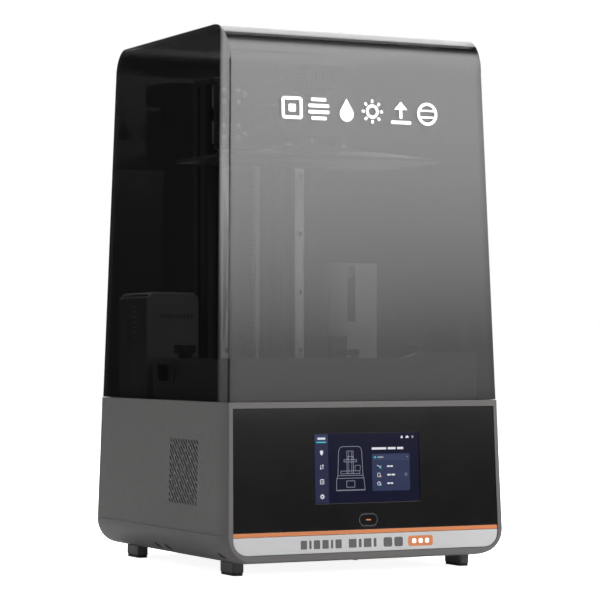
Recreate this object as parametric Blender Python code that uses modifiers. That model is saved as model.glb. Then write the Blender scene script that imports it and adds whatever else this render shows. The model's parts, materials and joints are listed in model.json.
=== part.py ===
"""Resin 3D printer: a masked-LCD printer with a lift-off tinted hood, a twin-rail Z axis,
a resin vat over an exposure screen, and a base holding the light engine and electronics.

Frame: metres, +Z up, front at -Y. The origin is on the surface it stands on, under the
middle of the machine. All sizes below are millimetres, turned to metres by MM.
"""

import math

import bmesh
import bpy
from mathutils import Matrix, Vector

MM = 0.001

# ---------------------------------------------------------------- driving sizes (mm)
SEAM_Z = 162.0  # top of the base's rim
TOP_Z = 515.0  # top of the hood
BASE_Z = 12.0  # underside of the base, carried by the feet
HALF_W = 145.7  # half width at the rim
HALF_D = 148.25  # from the centre to the rear face at the rim
HALF_F = 152.75  # from the centre to the front face at the rim
DRAFT_X = 0.026  # side draft, mm per mm of height
DRAFT_Y = 0.044  # front and rear draft
BOTTOM_R = 27.0  # radius of the base's lower left and right edges
ROLL = 3.0  # how far the sides roll in towards the front face
ROLL_L = 21.0  # over this length
WALL = 4.0  # base wall
RIM = 1.8  # rim that stands outside the deck
DECK_Z = 160.0  # top of the deck plate
HOOD_WALL = 3.0
HOOD_Z = 162.5  # lower edge of the hood, just over the rim
HOOD_INSET = 0.6  # hood's outer face, in from the base's outer face
SEAL = (2.1, 5.2)  # outer and inner faces of the seal, in from the base's outer face
HOOD_FRONT_R = 36.0
HOOD_REAR_R = 24.0

TRAVEL = 228.0  # Z travel
PLATE_Z = 394.4  # underside of the build plate at home
PLATE_Y = -35.5  # centre of the plate, screen and vat cavity
PLATE_W, PLATE_D = 230.0, 136.0
LEVER_Y, LEVER_Z = -12.0, 473.5  # axis of the clamp lever, along X
SCREW_Y = 90.0
SCREW_R = 6.0
SCREW_LEAD = 5.0
RAIL_X = 42.0
COLUMN_W, COLUMN_Y0, COLUMN_Y1, COLUMN_TOP = 60.0, 80.0, 115.0, 486.0

FRONT_TILT = -math.atan(DRAFT_Y)  # lean of the front face about X


def half_w(z):
    return HALF_W - DRAFT_X * (z - SEAM_Z)


def half_d(z):
    return HALF_D - DRAFT_Y * (z - SEAM_Z)


def half_f(z):
    return HALF_F - DRAFT_Y * (z - SEAM_Z)


# ---------------------------------------------------------------- scene and materials
for old in list(bpy.data.objects):
    bpy.data.objects.remove(old, do_unlink=True)
for old in list(bpy.data.meshes):
    bpy.data.meshes.remove(old)

parts = bpy.data.collections.new("resin_printer")
cutters = bpy.data.collections.new("cutters")
cutters.hide_render = True
bpy.context.scene.collection.children.link(parts)
bpy.context.scene.collection.children.link(cutters)


def material(name, colour, rough, metal=0.0, alpha=1.0, glow=None):
    m = bpy.data.materials.new(name)
    m.use_nodes = True
    p = m.node_tree.nodes["Principled BSDF"]
    p.inputs["Base Color"].default_value = (*colour, 1.0)
    p.inputs["Roughness"].default_value = rough
    p.inputs["Metallic"].default_value = metal
    p.inputs["Alpha"].default_value = alpha
    if glow:
        p.inputs["Emission Color"].default_value = (*glow, 1.0)
        p.inputs["Emission Strength"].default_value = 1.0
    m.diffuse_color = (*colour, alpha)
    return m


GREY = material("housing_grey", (0.105, 0.102, 0.102), 0.45)
BLACK_GLOSS = material("panel_black", (0.012, 0.012, 0.013), 0.12)
TINT = material("hood_tint", (0.02, 0.02, 0.022), 0.06, alpha=0.7)
ORANGE = material("accent_orange", (0.75, 0.20, 0.03), 0.35)
PALE = material("strip_silver", (0.62, 0.62, 0.62), 0.35)
RUBBER = material("rubber", (0.018, 0.018, 0.018), 0.85)
STEEL = material("steel", (0.55, 0.55, 0.56), 0.28, 1.0)
ALU = material("aluminium", (0.62, 0.62, 0.63), 0.4, 1.0)
DARK_ALU = material("anodised_black", (0.02, 0.02, 0.022), 0.42, 0.6)
DARK_PLASTIC = material("dark_plastic", (0.03, 0.03, 0.032), 0.5)
VAT = material("vat_dark", (0.05, 0.05, 0.053), 0.45)
PCB = material("circuit_board", (0.02, 0.09, 0.05), 0.5)
SCREEN = material("screen_glass", (0.02, 0.022, 0.06), 0.06, glow=(0.01, 0.012, 0.05))
FILM = material("clear_film", (0.7, 0.72, 0.74), 0.1, alpha=0.35)
BRASS = material("brass", (0.6, 0.42, 0.16), 0.35, 1.0)
BOTTLE = material("bottle_plastic", (0.06, 0.06, 0.065), 0.4)


# ---------------------------------------------------------------- modelling helpers
def add(name, bm, mat=None, cutter=False, sharp=35.0):
    """A mesh object from a bmesh in millimetres."""
    bmesh.ops.recalc_face_normals(bm, faces=bm.faces)
    for v in bm.verts:
        v.co *= MM
    mesh = bpy.data.meshes.new(name)
    bm.to_mesh(mesh)
    bm.free()
    obj = bpy.data.objects.new(name, mesh)
    (cutters if cutter else parts).objects.link(obj)
    if cutter:
        obj.hide_render = True
        obj.display_type = "WIRE"
    else:
        mesh.materials.append(mat)
        mesh.shade_smooth()
        mesh.set_sharp_from_angle(angle=math.radians(sharp))
    return obj


def cube_bm(x, y, z):
    """A bmesh box between two corners."""
    bm = bmesh.new()
    bmesh.ops.create_cube(bm, size=1.0)
    for v in bm.verts:
        v.co.x = x[1] if v.co.x > 0 else x[0]
        v.co.y = y[1] if v.co.y > 0 else y[0]
        v.co.z = z[1] if v.co.z > 0 else z[0]
    return bm


def bevel_where(bm, test, offset, segments):
    """Rounds the edges whose two end points pass the test."""
    edges = [e for e in bm.edges if test(e.verts[0].co, e.verts[1].co)]
    bmesh.ops.bevel(
        bm,
        geom=edges,
        offset=offset,
        offset_type="OFFSET",
        segments=segments,
        profile=0.5,
        affect="EDGES",
        clamp_overlap=True,
    )


def along(axis):
    """Test for edges that run along one axis."""
    others = [k for k in range(3) if k != axis]
    return lambda a, b: all(abs(a[k] - b[k]) < 1e-6 for k in others)


def box(name, x, y, z, mat=None, bevel=0.0, segments=2, cutter=False, axis=None):
    """A box; bevel rounds all its edges, or those along one axis."""
    bm = cube_bm(x, y, z)
    if bevel:
        test = along(axis) if axis is not None else (lambda a, b: True)
        bevel_where(bm, test, bevel, segments)
    return add(name, bm, mat, cutter)


def cylinder_bm(centre, radius, length, axis=2, segments=24, radius2=None):
    """A cylinder that starts at centre and runs along +axis."""
    bm = bmesh.new()
    bmesh.ops.create_cone(
        bm,
        cap_ends=True,
        cap_tris=False,
        segments=segments,
        radius1=radius,
        radius2=radius if radius2 is None else radius2,
        depth=length,
    )
    bmesh.ops.translate(bm, verts=bm.verts, vec=(0, 0, length / 2))
    turn = {
        0: Matrix.Rotation(math.radians(90), 3, "Y"),
        1: Matrix.Rotation(math.radians(-90), 3, "X"),
        2: Matrix.Identity(3),
    }[axis]
    bmesh.ops.transform(bm, matrix=turn.to_4x4(), verts=bm.verts)
    bmesh.ops.translate(bm, verts=bm.verts, vec=centre)
    return bm


def cylinder(name, centre, radius, length, mat=None, axis=2, segments=24, cutter=False, radius2=None):
    return add(name, cylinder_bm(centre, radius, length, axis, segments, radius2), mat, cutter)


def merge(target, other):
    """Adds one bmesh's shapes to another, as separate shells."""
    mesh = bpy.data.meshes.new("scratch")
    other.to_mesh(mesh)
    other.free()
    target.from_mesh(mesh)
    bpy.data.meshes.remove(mesh)
    return target


def boolean(obj, tool, operation="DIFFERENCE"):
    mod = obj.modifiers.new(tool.name[:40], "BOOLEAN")
    mod.operation = operation
    mod.solver = "EXACT"
    mod.object = tool
    return obj


def join(obj, tool):
    """Union with a helper that isn't itself a part."""
    tool.hide_render = True
    tool.display_type = "WIRE"
    if tool.name in parts.objects:
        parts.objects.unlink(tool)
        cutters.objects.link(tool)
    return boolean(obj, tool, "UNION")


def turned(name, profile, mat, centre=(0, 0, 0), steps=24, cutter=False):
    """A solid of revolution about Z: profile is (radius, z) from top to bottom, closed on the axis."""
    mesh = bpy.data.meshes.new(name)
    bm = bmesh.new()
    verts = [bm.verts.new((r * MM, 0, z * MM)) for r, z in profile]
    for a, b in zip(verts, verts[1:]):
        bm.edges.new((a, b))
    bm.to_mesh(mesh)
    bm.free()
    obj = bpy.data.objects.new(name, mesh)
    (cutters if cutter else parts).objects.link(obj)
    obj.location = Vector(centre) * MM
    screw = obj.modifiers.new("turn", "SCREW")
    screw.angle = math.radians(360)
    screw.steps = steps
    screw.render_steps = steps
    screw.use_merge_vertices = True
    screw.merge_threshold = 0.00002
    screw.use_smooth_shade = True
    if cutter:
        obj.hide_render = True
        obj.display_type = "WIRE"
    else:
        mesh.materials.append(mat)
    return obj


def roll_in(distance):
    """How far the side has rolled in at this distance from the front face."""
    if distance >= ROLL_L:
        return 0.0
    radius = (ROLL_L**2 + ROLL**2) / (2 * ROLL)
    return radius - math.sqrt(radius**2 - (ROLL_L - distance) ** 2)


def body_bm(z0, z1, inset=0.0, bottom_r=0.0, top_r=None):
    """The machine's outer form between two heights, moved in by inset: drafted sides that
    roll in towards the front face, with the base's rounded lower edges or the hood's
    rounded top edges."""
    a, b, f = HALF_W - inset, HALF_D - inset, HALF_F - inset
    bm = cube_bm((-a, a), (-f, b), (z0, z1))
    if bottom_r:
        bevel_where(
            bm,
            lambda p, q: max(abs(p.z - z0), abs(q.z - z0), abs(p.x - q.x)) < 1e-3,
            bottom_r,
            6,
        )
    if top_r:
        bevel_where(
            bm,
            lambda p, q: max(abs(p.z - z1), abs(q.z - z1), abs(p.y - q.y)) < 1e-3 and p.y < 0,
            top_r[0],
            8,
        )
        bevel_where(
            bm,
            lambda p, q: max(abs(p.z - z1), abs(q.z - z1)) < 1e-3 and min(p.y, q.y) > b - 1e-3,
            top_r[1],
            6,
        )
    for t in (ROLL_L, 16.5, 12.0, 7.5, 3.5):
        bmesh.ops.bisect_plane(
            bm,
            geom=bm.verts[:] + bm.edges[:] + bm.faces[:],
            plane_co=(0, t - f, 0),
            plane_no=(0, 1, 0),
        )
    if top_r:
        bmesh.ops.bisect_plane(
            bm,
            geom=bm.verts[:] + bm.edges[:] + bm.faces[:],
            plane_co=(0, 0, z1 - top_r[0]),
            plane_no=(0, 0, 1),
        )
    for v in bm.verts:
        edge = f + v.co.y
        fade = 1.0
        if top_r and v.co.z > z1 - top_r[0]:
            fade = (z1 - v.co.z) / top_r[0]
            cy, cz = top_r[0] - f, z1 - top_r[0]
            if v.co.y < cy:
                edge = top_r[0] - math.hypot(v.co.y - cy, v.co.z - cz)
        d = roll_in(max(edge, 0.0)) * fade
        if d <= 0:
            continue
        if bottom_r and v.co.z < z0 + bottom_r - 1e-3:
            cx, cz = a - bottom_r, z0 + bottom_r
            if abs(v.co.x) >= cx - 1e-6:
                out = Vector((abs(v.co.x) - cx, 0, v.co.z - cz)).normalized()
                v.co.x -= math.copysign(out.x * d, v.co.x)
                v.co.z -= out.z * d
            else:
                v.co.z += d
        elif abs(v.co.x) > a - 1e-3:
            v.co.x -= math.copysign(d, v.co.x)
    for v in bm.verts:
        v.co.x *= half_w(v.co.z) / HALF_W
        v.co.y *= half_d(v.co.z) / HALF_D if v.co.y > 0 else half_f(v.co.z) / HALF_F
    return bm


def open_at(bm, z):
    """Removes the flat face at this height."""
    faces = [f for f in bm.faces if all(abs(v.co.z - z) < 0.01 for v in f.verts)]
    bmesh.ops.delete(bm, geom=faces, context="FACES")
    return bm


def solidify(obj, thickness):
    mod = obj.modifiers.new("wall", "SOLIDIFY")
    mod.thickness = thickness * MM
    mod.offset = -1.0
    mod.use_even_offset = True
    mod.use_quality_normals = True
    return obj


def shell(name, bm, thickness, mat):
    """An open surface given a wall, inwards."""
    bmesh.ops.recalc_face_normals(bm, faces=bm.faces)
    return solidify(add(name, bm, mat), thickness)


# The front face leans back by its draft. Pieces on it are modelled flat, in x along the
# machine, y into it and z up the face from the rim, and are children of this empty.
front_face = bpy.data.objects.new("front_face", None)
parts.objects.link(front_face)
front_face.location = Vector((0, -HALF_F, SEAM_Z)) * MM
front_face.rotation_euler = (FRONT_TILT, 0, 0)


def on_front(obj):
    obj.parent = front_face
    return obj


def pivot(obj, point):
    """Puts the origin of an object modelled in place at this point, on its joint's axis."""
    at = Vector(point) * MM
    obj.data.transform(Matrix.Translation(-at))
    obj.location = at
    return obj


# ================================================================ base
base_bm = open_at(body_bm(BASE_Z, SEAM_Z, bottom_r=BOTTOM_R), SEAM_Z)
housing = shell("lower_housing", base_bm, WALL, GREY)

# step round the rim that carries the deck and locates the hood
boolean(housing, add("rim_step", body_bm(156.0, 175.0, inset=RIM), cutter=True))


def front_outline(x_top, x_low, z_top, z_low, y, radius=0.0, segments=6):
    """A flat piece on the front face, with rounded lower corners. z is down from the rim."""
    bm = cube_bm((-1, 1), y, (z_low, z_top))
    for v in bm.verts:
        v.co.x = math.copysign(x_top if v.co.z > (z_top + z_low) / 2 else x_low, v.co.x)
    if radius:
        bevel_where(
            bm,
            lambda p, q: max(abs(p.z - z_low), abs(q.z - z_low), abs(p.x - q.x)) < 1e-3,
            radius,
            segments,
        )
    return bm


# opening in the front wall, 139 mm half width at the top, with 15 mm lower corners
front_opening = add(
    "front_opening",
    front_outline(139.2, 141.6, -5.7, -141.6, (-8, 9), 15.0),
    cutter=True,
)
on_front(front_opening)
boolean(housing, front_opening)


def vent_cutter(name, side):
    """Eleven rows and columns of short slanted slots, 65 by 62 mm, in the side wall."""
    slant = math.atan(6.11 / 5.75)
    outline = [(0.0, 3.2), (1.05, 2.3), (1.05, -2.3), (0.0, -3.2), (-1.05, -2.3), (-1.05, 2.3)]
    turn = Matrix.Rotation(-slant, 2)
    x_out, x_in = side * 160.0, side * 130.0
    bm = bmesh.new()
    for i in range(11):
        for k in range(11):
            y = -59.4 + (i - 5) * 6.11
            z = 95.0 + (k - 5) * 5.75
            ring = [turn @ Vector(p) + Vector((y, z)) for p in outline]
            outer = [bm.verts.new((x_out, *p)) for p in ring]
            inner = [bm.verts.new((x_in, *p)) for p in ring]
            bm.faces.new(outer)
            bm.faces.new(inner[::-1])
            for n in range(6):
                m = (n + 1) % 6
                bm.faces.new((outer[n], outer[m], inner[m], inner[n]))
    return add(name, bm, cutter=True)


boolean(housing, vent_cutter("vent_slots_left", -1))
boolean(housing, vent_cutter("vent_slots_right", 1))

# two short slots low on each side, near the middle
low = bmesh.new()
for side in (-1, 1):
    for y in (15.0, -9.2):
        slot = cube_bm((-9, 9), (-1.1, 1.1), (-6.5, 6.5))
        for v in slot.verts:
            v.co.y -= 0.35 * v.co.z
            v.co.x *= side
        bmesh.ops.rotate(slot, verts=slot.verts, cent=(0, 0, 0), matrix=Matrix.Rotation(math.radians(side * 55), 3, "Y"))
        bmesh.ops.translate(slot, verts=slot.verts, vec=(side * 137.7, y, 17.4))
        merge(low, slot)
boolean(housing, add("low_slots", low, cutter=True))

# rear opening for the socket plate, and an exhaust grille of upright slots
REAR_Y = half_d(70.0)
boolean(housing, box("rear_window", (38, 118), (140, 170), (48, 98), cutter=True))
grille = bmesh.new()
for i in range(9):
    merge(grille, cube_bm((-100 + i * 9.0, -96.4 + i * 9.0), (140, 170), (52, 108)))
boolean(housing, add("rear_slots", grille, cutter=True))

# feet: a moulded block under each corner, shaped to the housing, with a rubber pad
clear_of_housing = add("housing_clearance", body_bm(BASE_Z - 0.3, 80.0, inset=-0.3, bottom_r=BOTTOM_R), cutter=True)
FOOT_X, FOOT_Y, FOOT_W, FOOT_L = 121.5, 113.0, 5.9, 15.6
for tag, sx, sy in (("front_left", -1, -1), ("front_right", 1, -1), ("rear_left", -1, 1), ("rear_right", 1, 1)):
    x, y = sx * FOOT_X, sy * FOOT_Y
    foot = box("foot_" + tag, (x - FOOT_W, x + FOOT_W), (y - FOOT_L, y + FOOT_L), (2.7, 24), GREY, 3.6, 4, axis=2)
    boolean(foot, clear_of_housing)
    pad = (x - FOOT_W + 0.7, x + FOOT_W - 0.7), (y - FOOT_L + 0.7, y + FOOT_L - 0.7)
    box("foot_pad_" + tag, *pad, (0, 2.4), RUBBER, 2.9, 4, axis=2)

# ---------------------------------------------------------------- front of the base
BEZEL_Y = (0.8, 4.6)
bezel = on_front(add("front_bezel", front_outline(138.9, 140.9, -6.0, -120.3, BEZEL_Y), BLACK_GLOSS))
boolean(bezel, on_front(box("display_window", (-56.2, 56.2), (-5, 10), (-95.4, -29.9), cutter=True)))
boolean(
    bezel,
    on_front(box("button_window", (-10.6, 10.6), (-5, 10), (-118.0, -105.2), cutter=True, bevel=6.3, segments=5, axis=1)),
)
display = on_front(box("display_glass", (-55.9, 55.9), (0.9, 5.4), (-95.1, -30.2), SCREEN))
join(display, on_front(box("display_module", (-62, 62), (5.0, 13.0), (-99, -26), cutter=True)))
on_front(
    box("power_button", (-10.2, 10.2), (1.0, 5.4), (-117.6, -105.6), BLACK_GLOSS, bevel=5.95, segments=5, axis=1)
)
on_front(add("accent_strip", front_outline(140.9, 141.0, -120.6, -124.4, (0.8, 4.6)), ORANGE))
on_front(add("name_strip", front_outline(141.0, 141.3, -124.7, -141.3, (0.8, 4.6), 14.6), PALE))

# ---------------------------------------------------------------- deck, seal and hood
deck = add("deck_plate", body_bm(156.3, DECK_Z, inset=RIM + 0.35), DARK_ALU)
boolean(deck, box("light_window", (-112, 112), (PLATE_Y - 64, PLATE_Y + 64), (150, 170), cutter=True))
boolean(deck, cylinder("screw_hole", (0, SCREW_Y, 150), 12.5, 20, cutter=True))

hood_bm = open_at(body_bm(HOOD_Z, TOP_Z, inset=HOOD_INSET, top_r=(HOOD_FRONT_R, HOOD_REAR_R)), HOOD_Z)
hood = shell("hood", hood_bm, HOOD_WALL, TINT)

seal = add("hood_seal", body_bm(DECK_Z + 0.3, HOOD_Z - 0.6, inset=SEAL[0]), RUBBER)
boolean(seal, add("seal_inside", body_bm(158.0, 165.0, inset=SEAL[1]), cutter=True))

# ---------------------------------------------------------------- inside the base
chassis = box("chassis_plate", (-120, 120), (-128, 138), (17.6, 19.2), STEEL)

light_bm = cube_bm((-1, 1), (-1, 1), (84, 154.4))
for v in light_bm.verts:
    top = v.co.z > 100
    v.co.x *= 111.0 if top else 62.0
    v.co.y = PLATE_Y + v.co.y * (63.0 if top else 46.0)
shell("light_box", open_at(open_at(light_bm, 154.4), 84), 2.0, ALU)

led = box("led_board", (-70, 70), (PLATE_Y - 52, PLATE_Y + 52), (81.4, 83.6), PCB)
lens = bmesh.new()
for i in range(7):
    for k in range(4):
        cone = cylinder_bm((-45 + i * 15.0, PLATE_Y - 22.5 + k * 15.0, 83.0), 5.5, 4.5, segments=8, radius2=2.5)
        merge(lens, cone)
join(led, add("led_lenses", lens, cutter=True))

sink = box("heat_sink", (-66, 66), (PLATE_Y - 48, PLATE_Y + 48), (73, 81.1), ALU)
fins = bmesh.new()
for i in range(12):
    x = -63.0 + i * 11.3
    merge(fins, cube_bm((x, x + 2.4), (PLATE_Y - 48, PLATE_Y + 48), (46, 74)))
join(sink, add("sink_fins", fins, cutter=True))
legs = bmesh.new()
for x in (-58, 58):
    for y in (PLATE_Y - 40, PLATE_Y + 40):
        merge(legs, cube_bm((x - 4, x + 4), (y - 4, y + 4), (19.6, 76)))
join(sink, add("sink_legs", legs, cutter=True))

FAN_X, FAN_Y, FAN_Z = -142.2, -59.4, 95.0
fan = box("fan_frame", (FAN_X, FAN_X + 15), (FAN_Y - 30, FAN_Y + 30), (FAN_Z - 30, FAN_Z + 30), DARK_PLASTIC, 3.0, 2, axis=0)
bore = cylinder("fan_bore", (FAN_X + -3, FAN_Y, FAN_Z), 28.3, 21, axis=0, segments=32, cutter=True)
boolean(fan, bore)
struts = cylinder_bm((FAN_X + 12, FAN_Y, FAN_Z), 11.0, 3.0, axis=0, segments=20)
strut_obj = add("fan_hub_seat", struts, cutter=True)
arms = bmesh.new()
for k in range(3):
    arm = cube_bm((FAN_X + 12, FAN_X + 15), (-2, 2), (9, 29.5))
    bmesh.ops.rotate(arm, verts=arm.verts, cent=(0, 0, 0), matrix=Matrix.Rotation(math.radians(45 + 120 * k), 3, "X"))
    bmesh.ops.translate(arm, verts=arm.verts, vec=(0, FAN_Y, FAN_Z))
    merge(arms, arm)
join(fan, strut_obj)
join(fan, add("fan_struts", arms, cutter=True))

rotor = cylinder("fan_rotor", (FAN_X + 1.2, FAN_Y, FAN_Z), 11.5, 10.2, DARK_PLASTIC, axis=0, segments=20)
blades = bmesh.new()
for k in range(7):
    blade = cube_bm((-4.2, 4.2), (-1.0, 1.0), (9.5, 26.6))
    bmesh.ops.rotate(blade, verts=blade.verts, cent=(0, 0, 0), matrix=Matrix.Rotation(math.radians(42), 3, "Z"))
    bmesh.ops.rotate(blade, verts=blade.verts, cent=(0, 0, 0), matrix=Matrix.Rotation(math.radians(360 / 7 * k), 3, "X"))
    bmesh.ops.translate(blade, verts=blade.verts, vec=(FAN_X + 6.2, FAN_Y, FAN_Z))
    merge(blades, blade)
join(rotor, add("fan_blades", blades, cutter=True))
pivot(rotor, (FAN_X + 6.1, FAN_Y, FAN_Z))

board = box("mainboard", (-112, -20), (62, 130), (26.0, 27.8), PCB)
chips = bmesh.new()
for x, y, w, d, h in ((-92, 80, 22, 22, 4), (-60, 84, 16, 16, 3), (-100, 112, 14, 26, 9), (-70, 114, 30, 12, 11), (-36, 76, 18, 14, 6), (-36, 112, 16, 20, 12)):
    merge(chips, cube_bm((x - w / 2, x + w / 2), (y - d / 2, y + d / 2), (27, 27.8 + h)))
for x, y in ((-107, 67), (-25, 67), (-107, 125), (-25, 125)):
    merge(chips, cylinder_bm((x, y, 19.6), 3.0, 7.0, segments=8))
join(board, add("board_parts", chips, cutter=True))

box("power_supply", (34, 112), (14, 132), (19.6, 44), ALU, 1.5, 1, axis=1)

# ---------------------------------------------------------------- rear sockets
rear = box("rear_panel", (34, 122), (143.4, 146.4), (44, 102), DARK_PLASTIC)
boolean(rear, box("inlet_hole", (44.8, 76.2), (140, 155), (61.8, 88.2), cutter=True, bevel=3, segments=1, axis=1))
inlet = box("power_inlet", (45.1, 75.9), (128, 150.6), (62.1, 87.9), DARK_PLASTIC, 3, 1, axis=1)
boolean(inlet, box("inlet_socket", (49, 72), (136, 156), (67.5, 82.5), cutter=True, bevel=3, segments=1, axis=1))
pins = bmesh.new()
for x, z in ((53.5, 73.5), (60.5, 78.5), (67.5, 73.5)):
    merge(pins, cube_bm((x - 1, x + 1), (134, 148.5), (z - 2, z + 2)))
join(inlet, add("inlet_pins", pins, cutter=True))
join(rear, box("switch_frame", (88.0, 110.0), (134, 149.4), (61.1, 88.9), cutter=True))
boolean(rear, box("switch_well", (91.6, 106.4), (137, 156), (64.0, 86.0), cutter=True))
# rocker: turns about X on its pin, rests with its upper half pressed in
ROCK_Y, ROCK_Z = 145.2, 75.0
rocker_mesh = cube_bm((92.1, 105.9), (-3.2, 5.4), (-9.4, 9.4))
for v in rocker_mesh.verts:
    if v.co.y > 0 and v.co.z > 0:
        v.co.y = 3.0
bevel_where(rocker_mesh, lambda p, q: p.y > 0 and q.y > 0 and p.x != q.x, 0.8, 2)
rocker = add("rocker_switch", rocker_mesh, DARK_PLASTIC)
rocker.location = Vector((0, ROCK_Y, ROCK_Z)) * MM
rocker.rotation_euler = (0, 0, 0)

# ================================================================ Z axis
column = box("column_beam", (-COLUMN_W, COLUMN_W), (COLUMN_Y0, COLUMN_Y1), (DECK_Z + 0.3, COLUMN_TOP - 6.3), DARK_ALU, 2.0, 1, axis=2)
boolean(column, box("column_channel", (-24, 24), (70, 106), (140, 500), cutter=True, bevel=3, segments=1, axis=2))
grooves = bmesh.new()
for side in (-1, 1):
    merge(grooves, cube_bm(tuple(sorted((side * 57.5, side * 70))), (94, 101), (140, 500)))
boolean(column, add("column_grooves", grooves, cutter=True))

for tag, side in (("left", -1), ("right", 1)):
    rail = box("rail_" + tag, (side * RAIL_X - 6, side * RAIL_X + 6), (72.0, 79.7), (166, 480), STEEL, 1.0, 1, axis=2)
    holes = bmesh.new()
    for k in range(5):
        merge(holes, cylinder_bm((side * RAIL_X, 65, 210.0 + k * 60.0), 2.9, 11.5, axis=1, segments=12))
    holes_obj = add("rail_holes_" + tag, holes, cutter=True)
    boolean(rail, holes_obj)

cap = box("column_cap", (-COLUMN_W, COLUMN_W), (66.0, COLUMN_Y1), (480.2, COLUMN_TOP), DARK_ALU, 3.0, 2, axis=2)
boolean(cap, cylinder("cap_bore", (0, SCREW_Y, 470), 4.4, 14, cutter=True))

motor = box("z_motor", (-21, 21), (SCREW_Y - 21, SCREW_Y + 21), (108, 156), DARK_ALU, 4.0, 1, axis=2)
join(motor, cylinder("motor_boss", (0, SCREW_Y, 155.5), 11.0, 2.5, segments=24, cutter=True))
boolean(motor, cylinder("motor_bore", (0, SCREW_Y, 145.0), 3.0, 20, segments=16, cutter=True))

coupling = turned(
    "screw_coupling",
    [(0, 180), (10, 180), (10, 171), (8.6, 170.5), (8.6, 169), (10, 168.5), (10, 158.6), (2.5, 158.6), (2.5, 147.0), (0, 147.0)],
    ALU,
    (0, SCREW_Y, 0),
    20,
)
turned(
    "lead_screw",
    [(0, 482.8), (4.0, 482.8), (4.0, 478.0), (SCREW_R, 476.5), (SCREW_R, 184.0), (4.0, 182.5), (4.0, 180.3), (0, 180.3)],
    STEEL,
    (0, SCREW_Y, 0),
    20,
)

# ---------------------------------------------------------------- carriage
carriage = box("carriage_plate", (-58, 58), (58.8, 66.6), (413.4, 479.6), DARK_ALU, 2.5, 2, axis=1)
for tag, side in (("left", -1), ("right", 1)):
    for level, z in (("upper", 456.0), ("lower", 420.0)):
        block = box(
            "bearing_%s_%s" % (level, tag),
            (side * RAIL_X - 13.5, side * RAIL_X + 13.5),
            (66.9, 77.0),
            (z, z + 23.0),
            STEEL,
            1.0,
            1,
            axis=2,
        )
        boolean(block, box("block_slot_%s_%s" % (level, tag), (side * RAIL_X - 6.35, side * RAIL_X + 6.35), (71.6, 90), (z - 5, z + 30), cutter=True))

nut = box("lead_nut", (-22, 22), (66.9, 100.0), (430, 446), BRASS, 2.0, 1, axis=2)
boolean(nut, cylinder("nut_bore", (0, SCREW_Y, 420), SCREW_R + 0.4, 40, segments=24, cutter=True))

# arm: a deep web from the carriage that narrows to a tongue under the platform head
arm_bm = cube_bm((-21, 21), (-2, 58.5), (436.5, 462.0))
for v in arm_bm.verts:
    if v.co.y < 0:
        v.co.x *= 0.72
        v.co.z = 438.0 if v.co.z < 450 else 450.6
arm = add("platform_arm", arm_bm, DARK_ALU)
join(arm, box("arm_tongue", (-15, 15), (-50, 4), (438.0, 450.6), cutter=True))
boolean(arm, box("clamp_slot", (-4, 4), (-38, -26), (430, 460), cutter=True, bevel=3.9, segments=3, axis=2))

# ---------------------------------------------------------------- build platform
PLATE_TOP = PLATE_Z + 3.0
x0, x1 = -PLATE_W / 2, PLATE_W / 2
y0, y1 = PLATE_Y - PLATE_D / 2, PLATE_Y + PLATE_D / 2
plate = box("build_plate", (x0, x1), (y0, y1), (PLATE_Z, PLATE_TOP), ALU, 2.0, 2, axis=2)
roof = cube_bm((-1, 1), (-1, 1), (PLATE_TOP - 1.0, PLATE_TOP + 7.0))
for v in roof.verts:
    high = v.co.z > PLATE_TOP
    v.co.x *= 60.0 if high else x1 - 2.0
    v.co.y = PLATE_Y + v.co.y * (36.0 if high else PLATE_D / 2 - 2.0)
join(plate, add("plate_roof", roof, cutter=True))
PLATE_SEAT = PLATE_TOP + 7.0

head = box("platform_head", (-25, 25), (-57, -14.0), (418.0, 459.0), DARK_PLASTIC, 1.5, 2)
boolean(head, box("head_channel", (-15.4, 15.4), (-53.5, 0), (410, 451.0), cutter=True))
legs = bmesh.new()
for side in (-1, 1):
    merge(legs, cube_bm(tuple(sorted((side * 16.5, side * 22.5))), (-56, -15), (PLATE_SEAT + 3.3, 419.5)))
join(head, add("head_legs", legs, cutter=True))
join(head, box("head_foot", (-34, 34), (-62, -9), (PLATE_SEAT + 0.3, PLATE_SEAT + 4.0), cutter=True, bevel=3, segments=2, axis=2))

for i, (x, y) in enumerate(((-28.5, -50), (28.5, -50), (-28.5, -21), (28.5, -21))):
    tag = ("front_left", "front_right", "rear_left", "rear_right")[i]
    screw = cylinder("leveling_screw_" + tag, (x, y, PLATE_SEAT + 4.3), 3.6, 3.6, STEEL, segments=12)
    boolean(screw, cylinder("hex_" + tag, (x, y, PLATE_SEAT + 5.8), 1.7, 5, segments=6, cutter=True))

# neck and two ears on the head, for the clamp lever
join(head, box("head_neck", (-14, 14), (-46, -22), (457.0, 469.5), cutter=True, bevel=2.0, segments=1, axis=2))
ears = bmesh.new()
for side in (-1, 1):
    merge(ears, cube_bm(tuple(sorted((side * 9.0, side * 13.5))), (LEVER_Y - 6.5, LEVER_Y + 6.5), (456.0, LEVER_Z + 6.0)))
join(head, add("head_ears", ears, cutter=True))
boolean(head, cylinder("ear_holes", (-20, LEVER_Y, LEVER_Z), 3.25, 40, axis=0, segments=20, cutter=True))

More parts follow.
